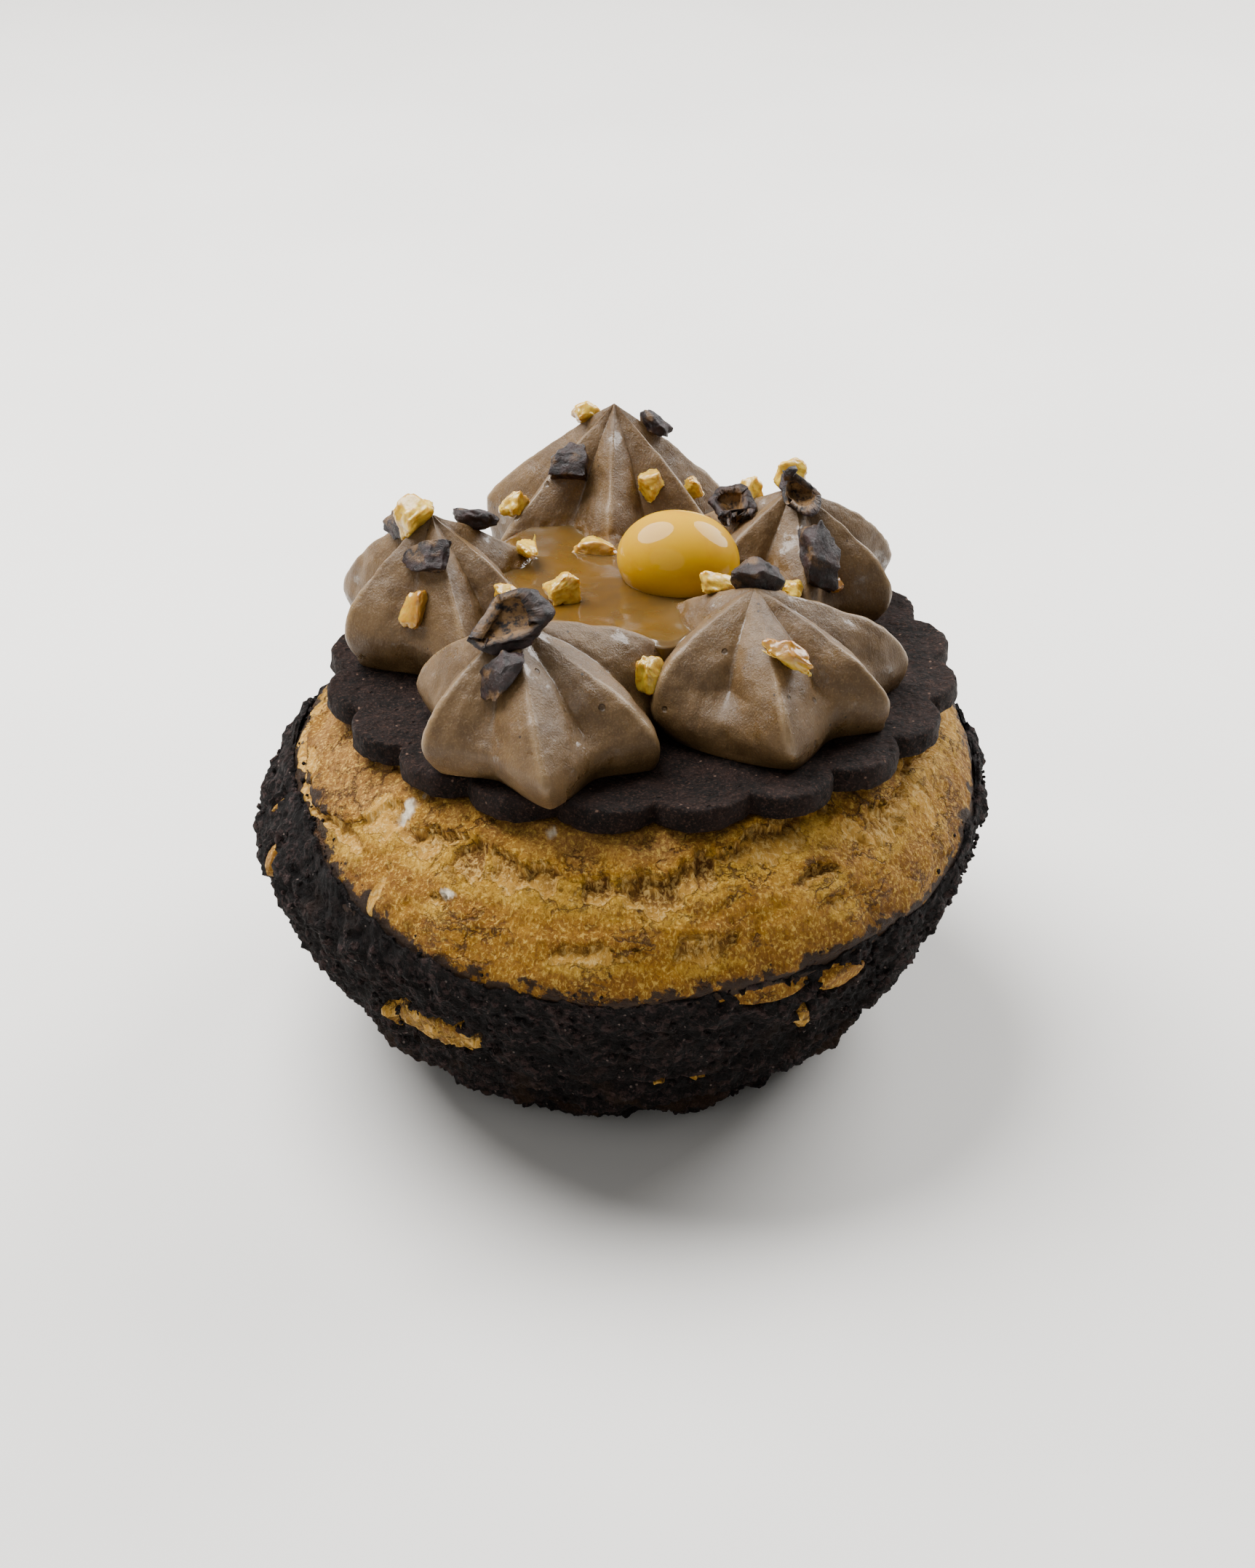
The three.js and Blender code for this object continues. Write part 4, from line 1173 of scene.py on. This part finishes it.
cream_stars = []
for number, (name, star) in enumerate(STARS.items()):
    cream_stars.append(make_star(name, star, 100 + 10 * number))
    finish_piece(cream_stars[-1], "cream", name)

# %% [markdown]
# Chocolate cream is a dull milk brown with a moist skin: broken glints rather than a mirror. Fine dark
# specks of cocoa lie in it, and small air holes. A painted highlight runs along the crests, and painted
# shade lies in the valleys and the air holes. Light goes a little way into it, so it gets a short
# subsurface reach. Where it is wet, it is smoother and yellower.

# %% Cream finish
cream = Finish("chocolate_cream", subsurface_weight=0.06, subsurface_scale=0.0008, coat_roughness=0.08,
               specular_ior_level=0.35)
soft = cream.group(GRAIN, Size_mm=3.5, Detail=5.0, Rough=0.6)
fine = cream.group(GRAIN, Size_mm=0.22, Detail=3.0, Rough=0.6)
ripple = cream.group(FELT, Size_mm=0.45, Upright=0.35)
glint = cream.group(PATCHES, Size_mm=4.0, Level=0.56, Soft=0.06)
cocoa = cream.group(SPECKS, Size_mm=1.5, Share=0.14, Radius=0.13)
pits = cream.group(SPECKS, Size_mm=3.2, Share=0.3, Radius=0.13)
wet = cream.value("wet")
for shiny in (cream.times(glint, 0.7), cream.value("valley", 0.7), cream.value("crest", 0.4)):
    wet = cream.maths("MAXIMUM", wet, shiny)
cream.link(cream.paint(
    cream.mix(cream.range(soft, 0.35, 0.65), (99, 75, 44), (82, 60, 33)),
    (cream.range(fine, 0.5, 0.68, 0.0, 0.45), (126, 100, 66)),
    # Painted highlight along the crests.
    (cream.value("crest", 0.6), (142, 116, 80)),
    (cream.value("wet", 0.5), (104, 72, 26)),
    # Painted shade in the valleys.
    (cream.value("valley", 0.3), (66, 46, 24)),
    (cream.times(cocoa, 0.85), (34, 24, 18)),
    # Painted shade in the air holes.
    (cream.times(pits, 0.6), (50, 36, 22)),
), "Base Color")
cream.link(cream.range(wet, 0, 1, 0.45, 0.16), "Roughness")
cream.link(cream.times(wet, 0.6), "Coat Weight")
cream.bump(cream.weighed((fine, 0.5), (ripple, 0.8), (pits, -1.5)), 0.13)
cream.dress(*cream_stars)

# %% [markdown]
# ## The caramel
# Liquid caramel fills the hollow between the stars, and a spout of it runs forward between two of
# them. Its face is level, but it climbs a little where it wets the cream and the ball. Near the cream
# it lies thin, and how thin is kept on the points for the colour.

# %% Shape of the pool
BALL = dict(x=3.9, y=2.3, z=11, half=(6.6, 5.8, 5.2), slope=-6)
POOL_COLUMNS, POOL_RINGS = 64, 30
POOL_PROFILE = [(0, 0), (0.04, 1), (0.14, 1), (0.2, 1), (0.24, 0.955), (1, 0)]
POOL_HEIGHT = [(0, 0), (0.04, 0), (0.14, 0.9), (0.2, 0.97), (0.24, 1), (1, 1)]
SPOUT = dict(azimuth=282, reach=3.2, spread=11)


def pool_surface(turn, share):
    from_spout = (np.degrees(turn) - SPOUT["azimuth"] + 180) % 360 - 180
    spout = SPOUT["reach"] * np.exp(-(from_spout / SPOUT["spread"]) ** 2)
    radius = (POOL["radius"] + spout) * along(POOL_PROFILE, share)
    z = GAP + (POOL["level"] - GAP) * along(POOL_HEIGHT, share)
    return np.stack([POOL["x"] + radius * np.cos(turn), POOL["y"] + radius * np.sin(turn), z], axis=-1)


def beyond_star(star, points):
    """How far each point lies outside the star, at the level of the caramel."""
    up = POOL["level"] / star["height"]
    turns = np.linspace(0, 1, 361)
    middle, shift = np.array(star["at"]), np.array(star["peak"]) * up
    rim = star_point(star, turns, np.full(len(turns), up))[:, :2] - middle - shift
    away = points[:, :2] - middle - shift
    angles = np.arctan2(rim[:, 1], rim[:, 0])
    order = np.argsort(angles)
    reaches = np.hypot(*rim.T)[order]
    return np.hypot(*away.T) - np.interp(
        np.arctan2(away[:, 1], away[:, 0]), angles[order], reaches, period=TURN)


caramel, turn, share, base, outward = turned("caramel_pool_face", POOL_COLUMNS, POOL_RINGS, pool_surface)
print("pool", POOL)

# %% [markdown]
# Where the caramel wets something, its face climbs, and less so farther away. Slow ripples keep it from
# lying like glass.

# %% Pour the caramel
CLIMB, CLIMB_WIDTH = 0.2, 0.9
THIN_WIDTH = 2.2


def climb(distance):
    return np.exp(-np.clip(distance, 0, None) / CLIMB_WIDTH)


to_cream = np.min([beyond_star(star, base) for star in STARS.values()], axis=0)
squash = math.sqrt(1 - ((BALL["z"] - POOL["level"]) / BALL["half"][2]) ** 2)
to_ball = (np.hypot((base[:, 0] - BALL["x"]) / (BALL["half"][0] * squash),
                    (base[:, 1] - BALL["y"]) / (BALL["half"][1] * squash)) - 1) * BALL["half"][1]
ripples = soft_noise(base, 4.0, 151, 2)
on_top = blend(0.18, 0.24, share)
base[:, 2] += on_top * (CLIMB * climb(to_cream) + 1.2 * CLIMB * climb(to_ball) + 0.12 * ripples)
put(caramel, on_plate(base))
keep_values(caramel, "thin", np.exp(-np.clip(to_cream + 0.8 * ripples, 0, None) / THIN_WIDTH))
finish_piece(caramel, "caramel", "caramel_pool")

# %% [markdown]
# Caramel is glossy and deep amber in the middle. Where it lies thin, it takes the cream's brown.

# %% Caramel finish
syrup = Finish("caramel", roughness=0.2, coat_weight=0.35, coat_roughness=0.05, ior=1.4,
               subsurface_weight=0.1, subsurface_scale=0.001)
swirl = syrup.group(GRAIN, Size_mm=4.0, Detail=4.0, Rough=0.6)
syrup.link(syrup.paint(
    syrup.mix(syrup.range(swirl, 0.35, 0.65), (88, 60, 14), (76, 54, 22)),
    (syrup.value("thin", 0.9), (86, 66, 36)),
), "Base Color")
syrup.bump(syrup.group(GRAIN, Size_mm=2.6, Detail=2.0, Rough=0.4), 0.04)
syrup.dress(caramel)

# %% [markdown]
# ## The glazed ball
# A soft ball under a clear glaze. It starts as a UV sphere, is scaled to its three half widths in edit
# mode, and is pushed slightly out of round. It leans a little.

# %% Glaze the ball
deselect()
bpy.ops.mesh.primitive_uv_sphere_add(segments=96, ring_count=64, radius=1)
ball = bpy.context.object
ball.name = ball.data.name = "glazed_orange_ball"
edit(ball, "VERT")
bpy.ops.transform.resize(value=BALL["half"])
leave_edit()
round_points = points_of(ball)
# Darker towards the bottom of the ball.
keep_values(ball, "foot", blend(0, -BALL["half"][2], round_points[:, 2]))
round_points *= (1 + 0.018 * soft_noise(round_points, 5, 161))[:, None]
slope = np.array(Matrix.Rotation(math.radians(-BALL["slope"]), 3, "Y"))
put(ball, on_plate(round_points @ slope.T + np.array([BALL["x"], BALL["y"], BALL["z"]])))
finish_piece(ball, "ball", "glazed_ball")

# %% [markdown]
# The glaze is orange yellow, browner in soft stains, and darker towards the bottom of the ball. The body
# is dull, and the clear coat over it gives one small, sharp glint.

# %% Ball finish
glaze = Finish("orange_glaze", roughness=0.5, specular_ior_level=0.05, coat_weight=0.35, coat_roughness=0.02,
               subsurface_weight=0.1, subsurface_scale=0.003)
glaze.link(glaze.paint(
    glaze.mix(glaze.value("foot"), (184, 138, 0), (126, 78, 0)),
    (glaze.group(PATCHES, Size_mm=5.0, Level=0.5, Soft=0.3), (174, 122, 0)),
), "Base Color")
glaze.bump(glaze.group(GRAIN, Size_mm=3.0, Detail=2.0, Rough=0.4), 0.04)
glaze.dress(ball)

# %% [markdown]
# ## Where the toppings lie
# Each nib and nut is given by the star it lies on, its azimuth round that star, its share of the
# height, how far its middle stands off the surface, its size and its turn about the surface. On the
# caramel its place across and along stands for the azimuth and the share. The last value is how
# toasted a nut is, or how a nib is broken: a shell is hollow, a shard is solid.

# %% Toppings
NIBS = [
    ("cream_back", 20, 0.82, 0.9, (3.6, 2.9, 2.2), 30, "shard"),
    ("cream_back", 222, 0.74, 0.9, (4.2, 4.4, 3.2), 0, "shard"),
    ("cream_right", 172, 0.77, 1.1, (7.1, 5.2, 3.2), 15, "shell"),
    ("cream_right", 288, 0.95, 1.0, (5.8, 4.4, 3.2), 70, "shell"),
    ("cream_right", 288, 0.63, 1.3, (5.6, 7.2, 4.0), 20, "shard"),
    ("cream_front_right", 78, 0.95, 1.4, (5.9, 4.4, 3.8), 0, "shard"),
    ("cream_left", 158, 0.85, 0.7, (3.7, 3.1, 2.2), 0, "shard"),
    ("cream_left", 26, 0.84, 0.9, (6.2, 3.6, 2.4), 0, "shell"),
    ("cream_left", 260, 0.78, 0.6, (6.4, 3.4, 2.2), 25, "shard"),
    ("cream_front_left", 240, 0.97, 1.4, (9.4, 6.6, 4.0), 15, "shell"),
    ("cream_front_left", 254, 0.73, 0.5, (6.5, 4.4, 2.4), 70, "shard"),
]
NUTS = [
    ("cream_back", 154, 0.88, 0.7, (3.2, 2.6, 2.4), 0, 0.5),
    ("cream_back", 310, 0.63, 0.7, (3.0, 4.1, 2.6), 0, 0.3),
    ("cream_back", 336, 0.56, 0.6, (2.6, 2.9, 2.2), 0, 0.4),
    ("cream_back", 212, 0.5, 1.0, (3.2, 3.6, 2.8), 0, 0.2),
    ("cream_right", 146, 0.83, 1.5, (2.8, 2.2, 2.8), 0, 0.1),
    ("cream_right", 92, 0.97, 2.2, (3.9, 3.2, 3.6), 0, 0.0),
    ("cream_right", 278, 0.5, 1.0, (2.8, 2.2, 2.2), 0, 0.0),
    ("cream_left", 16, 0.62, 0.8, (3.7, 2.7, 2.2), -25, 0.0),
    ("cream_front_right", 132, 0.8, 1.2, (5.4, 2.8, 2.6), 40, 0.1),
    ("cream_left", 170, 0.93, 1.3, (3.8, 5.2, 3.6), 0, 0.3),
    ("cream_left", 248, 0.48, 0.4, (3.4, 4.2, 2.4), 20, 0.8),
    ("cream_front_left", 12, 0.48, 0.6, (3.9, 4.3, 2.4), 0, 0.3),
    ("cream_front_right", 282, 0.7, 1.0, (3.2, 5.6, 3.0), 30, 0.8),
    ("cream_right", 308, 0.42, 0.6, (2.6, 2.4, 2.2), 0, 0.9),
    ("cream_left", 320, 0.55, 0.9, (3.2, 3.0, 2.4), 0, 0.3),
    ("caramel_pool", -5.0, 9.6, 0.2, (5.4, 4.0, 2.6), 10, 0.7),
    ("caramel_pool", -8.5, -3.0, 1.3, (3.6, 3.2, 3.6), 20, 0.3),
]
SEAT_STEP = 0.02

def turn_at(star, degrees):
    """The turn past the ridges, from 0 to 1, at an azimuth."""
    count = len(star["ridges"])
    for i in range(count):
        start = star["ridges"][i][0]
        step = (star["ridges"][(i + 1) % count][0] - start) % 360
        past = (degrees - start) % 360
        if past < step:
            return (i + past / step) / count
    return 0.0


def seat(on, first, second, lift, spin):
    """The matrix that lays a piece, made flat at the origin, on its star or on the caramel."""
    if on == "caramel_pool":
        point, normal = Vector((first, second, POOL["level"])), Vector((0, 0, 1))
    else:
        star, turn = STARS[on], turn_at(STARS[on], first)

        def at(past, higher):
            return Vector(star_point(star, np.array((turn + past) % 1), np.array(second + higher)))
        point = at(0, 0)
        sideways, upward = at(SEAT_STEP, 0) - at(-SEAT_STEP, 0), at(0, SEAT_STEP) - at(0, -SEAT_STEP)
        normal = sideways.cross(upward).normalized()
    level = Vector((-normal.y, normal.x, 0))
    east = level.normalized() if level.length > 0 else Vector((1, 0, 0))
    axes = Matrix((east, normal.cross(east), normal)).transposed().to_4x4()
    turned_about = Matrix.Rotation(math.radians(spin), 4, "Z")
    return plate @ Matrix.Translation(point + normal * lift) @ axes @ turned_about


print(len(NIBS), "nibs and", len(NUTS), "nuts")

# %% [markdown]
# A topping holds because it sinks a little into what carries it. The skin of each star and of the
# caramel is searched for the nearest point, and the piece is moved in along its seat's direction until
# it reaches deep enough.

# %% Sink a topping in
SINK = 0.35


def skin_of(piece):
    corners = [face.vertices[:] for face in piece.data.polygons]
    return BVHTree.FromPolygons((points_of(piece) / MM).tolist(), corners)


SKINS = {name: skin_of(piece) for name, piece in zip([*STARS, "caramel_pool"], [*cream_stars, caramel])}


def place(piece, points, size, matrix, skin):
    """Scales unit points to a size in millimetres, and sinks them in at their seat until they hold."""
    low, high = points.min(axis=0), points.max(axis=0)
    points = (points - (low + high) / 2) / (high - low) * np.array(size)
    axes = np.array(matrix.to_3x3())
    points = points @ axes.T + np.array(matrix.translation)
    gaps = []
    for point in points.tolist():
        on_skin, way, _, _ = skin.find_nearest(point)
        gaps.append((Vector(point) - on_skin).dot(way))
    put(piece, points - max(min(gaps) + SINK, 0) * axes[:, 2])


def join(pieces, name):
    deselect()
    for piece in pieces:
        piece.select_set(True)
    bpy.context.view_layer.objects.active = pieces[0]
    bpy.ops.object.join()
    pieces[0].name = pieces[0].data.name = name
    return pieces[0]


print("skins of", list(SKINS))

# %% [markdown]
# ## Chopped nuts
# A chopped nut is a block with a few knife cuts and rounded corners. A cube is cut by planes with
# Bisect, its edges are bevelled, and a Subdivision modifier, smoothing and a little noise soften it.
# Each nut has its own cuts. Then all nuts are joined, and how toasted each one is stays on its points.

# %% Chop the nuts
SUBDIVISIONS = 2
# in percent of a nut's points: what stands out farther than these is drawn in
SPIKES_FROM = 95


def some_way(draw):
    return Vector([draw.uniform(-1, 1) for _ in range(3)])


def cut_block(cuts, draw, bevel, near, far):
    """A unit block cut by planes that pass between near and far from its middle."""
    deselect()
    bpy.ops.mesh.primitive_cube_add(size=1)
    piece = bpy.context.object
    edit(piece, "FACE")
    for _ in range(cuts):
        way = some_way(draw).normalized()
        bpy.ops.mesh.select_all(action="SELECT")
        bpy.ops.mesh.bisect(
            plane_co=way * draw.uniform(near, far), plane_no=way, use_fill=True, clear_outer=True)
    bpy.ops.mesh.select_mode(type="EDGE")
    bpy.ops.mesh.select_all(action="SELECT")
    bpy.ops.mesh.remove_doubles(threshold=0.02)
    bpy.ops.mesh.bevel(offset=bevel, segments=2)
    leave_edit()
    apply_modifier(piece, "SUBSURF", levels=SUBDIVISIONS, render_levels=SUBDIVISIONS)
    return piece


nuts = []
for number, (on, first, second, lift, size, spin, toast) in enumerate(NUTS):
    draw = random.Random(200 + number)
    nut = cut_block(7, draw, 0.13, 0.34, 0.47)
    edit(nut, "VERT")
    bpy.ops.mesh.vertices_smooth(factor=0.5, repeat=10)
    leave_edit()
    unit = points_of(nut)
    rough = 0.22 * soft_noise(unit, 0.42, 210 + number, 4) + 0.07 * soft_noise(unit, 0.15, 230 + number, 2)
    unit *= (1 + rough)[:, None]
    reach = np.linalg.norm(unit, axis=1)
    unit *= np.minimum(1, np.percentile(reach, SPIKES_FROM) / reach)[:, None]
    place(nut, unit, size, seat(on, first, second, lift, spin), SKINS[on])
    across = unit @ np.array(some_way(draw)[:])
    keep_values(nut, "toast", np.clip(toast * blend(-0.35, 0.3, across) * 1.1, 0, 1))
    nuts.append(nut)
chopped_nuts = join(nuts, "chopped_nuts")
finish_piece(chopped_nuts, "cream")

# %% [markdown]
# The nut's flesh is a warm yellow with a slight shine, and light goes a little way into it. Its
# toasted side is brown.

# %% Nut finish
nut_finish = Finish("toasted_nut", roughness=0.3, coat_weight=0.4, coat_roughness=0.15,
                    subsurface_weight=0.3, subsurface_scale=0.001)
flesh = nut_finish.group(GRAIN, Size_mm=0.7, Detail=5.0, Rough=0.6)
nut_finish.link(nut_finish.paint(
    nut_finish.mix(nut_finish.range(flesh, 0.4, 0.7), (208, 174, 58), (182, 136, 22)),
    (nut_finish.value("toast"), (142, 92, 20)),
), "Base Color")
nut_finish.bump(flesh, 0.1)
nut_finish.dress(chopped_nuts)

# %% [markdown]
# ## Cocoa nibs
# A nib is a splinter of roasted cocoa bean. Some are solid shards, made as the nuts are. Others are a
# bit of the husk: an ico sphere cut open by two planes, pressed into a few flats, and given a wall
# with Solidify. Where each one broke is kept on its points.

# %% Break the nibs
HUSK_WALL = 0.16


def press_flats(points, flats, draw):
    for _ in range(flats):
        way = np.array(some_way(draw).normalized())
        points = points - np.clip(points @ way - draw.uniform(0.22, 0.36), 0, None)[:, None] * way
    return points


def husk(draw):
    deselect()
    bpy.ops.mesh.primitive_ico_sphere_add(subdivisions=5, radius=0.5)
    piece = bpy.context.object
    edit(piece, "FACE")
    for height, lean in ((0.12, 0.25), (0.2, 0.9)):
        way = Vector((draw.uniform(-lean, lean), draw.uniform(-lean, lean), 1)).normalized()
        bpy.ops.mesh.select_all(action="SELECT")
        bpy.ops.mesh.bisect(plane_co=way * height, plane_no=way, clear_outer=True)
    leave_edit()
    put(piece, press_flats(points_of(piece), 5, draw) / MM)
    apply_modifier(piece, "SOLIDIFY", thickness=HUSK_WALL, offset=-1)
    return piece


nibs = []
for number, (on, first, second, lift, size, spin, kind) in enumerate(NIBS):
    draw = random.Random(300 + number)
    if kind == "shell":
        nib = husk(draw)
        unit = points_of(nib)
        facing = np.array([corner.vector[:] for corner in nib.data.vertex_normals])
        broken = blend(0.1, -0.1, (facing * unit).sum(axis=1)) * blend(0.25, -0.1, unit[:, 2])
    else:
        nib = cut_block(9, draw, 0.03, 0.3, 0.44)
        unit = points_of(nib)
        broken = blend(0.2, 0.5, soft_noise(unit, 0.5, 330 + number, 2)) * 0.6
    unit = unit * (1 + 0.16 * soft_noise(unit, 0.3, 310 + number, 3))[:, None]
    place(nib, unit, size, seat(on, first, second, lift, spin), SKINS[on])
    keep_values(nib, "broken", broken)
    nibs.append(nib)
cocoa_nibs = join(nibs, "cocoa_nibs")
finish_piece(cocoa_nibs, "crust")

# %% [markdown]
# Husk is nearly black with a reddish brown in it, and faint purplish grey patches on it are a painted
# sheen. A broken face is paler and crumbly.

# %% Nib finish
nib_finish = Finish("cocoa_nib", roughness=0.34, specular_ior_level=0.3)
rind = nib_finish.group(GRAIN, Size_mm=0.8, Detail=6.0, Rough=0.7)
sheen_patches = nib_finish.group(PATCHES, Size_mm=1.8, Level=0.5, Soft=0.12)
crumbled = nib_finish.times(nib_finish.value("broken"), nib_finish.range(rind, 0.38, 0.56))
nib_finish.link(nib_finish.paint(
    nib_finish.mix(nib_finish.range(rind, 0.35, 0.65), (14, 7, 6), (38, 22, 19)),
    # Painted sheen in paler purplish patches.
    (nib_finish.times(sheen_patches, 0.2), (84, 60, 60)),
    (nib_finish.times(crumbled, 0.85), (128, 96, 56)),
), "Base Color")
nib_finish.bump(rind, 0.3)
nib_finish.dress(cocoa_nibs)
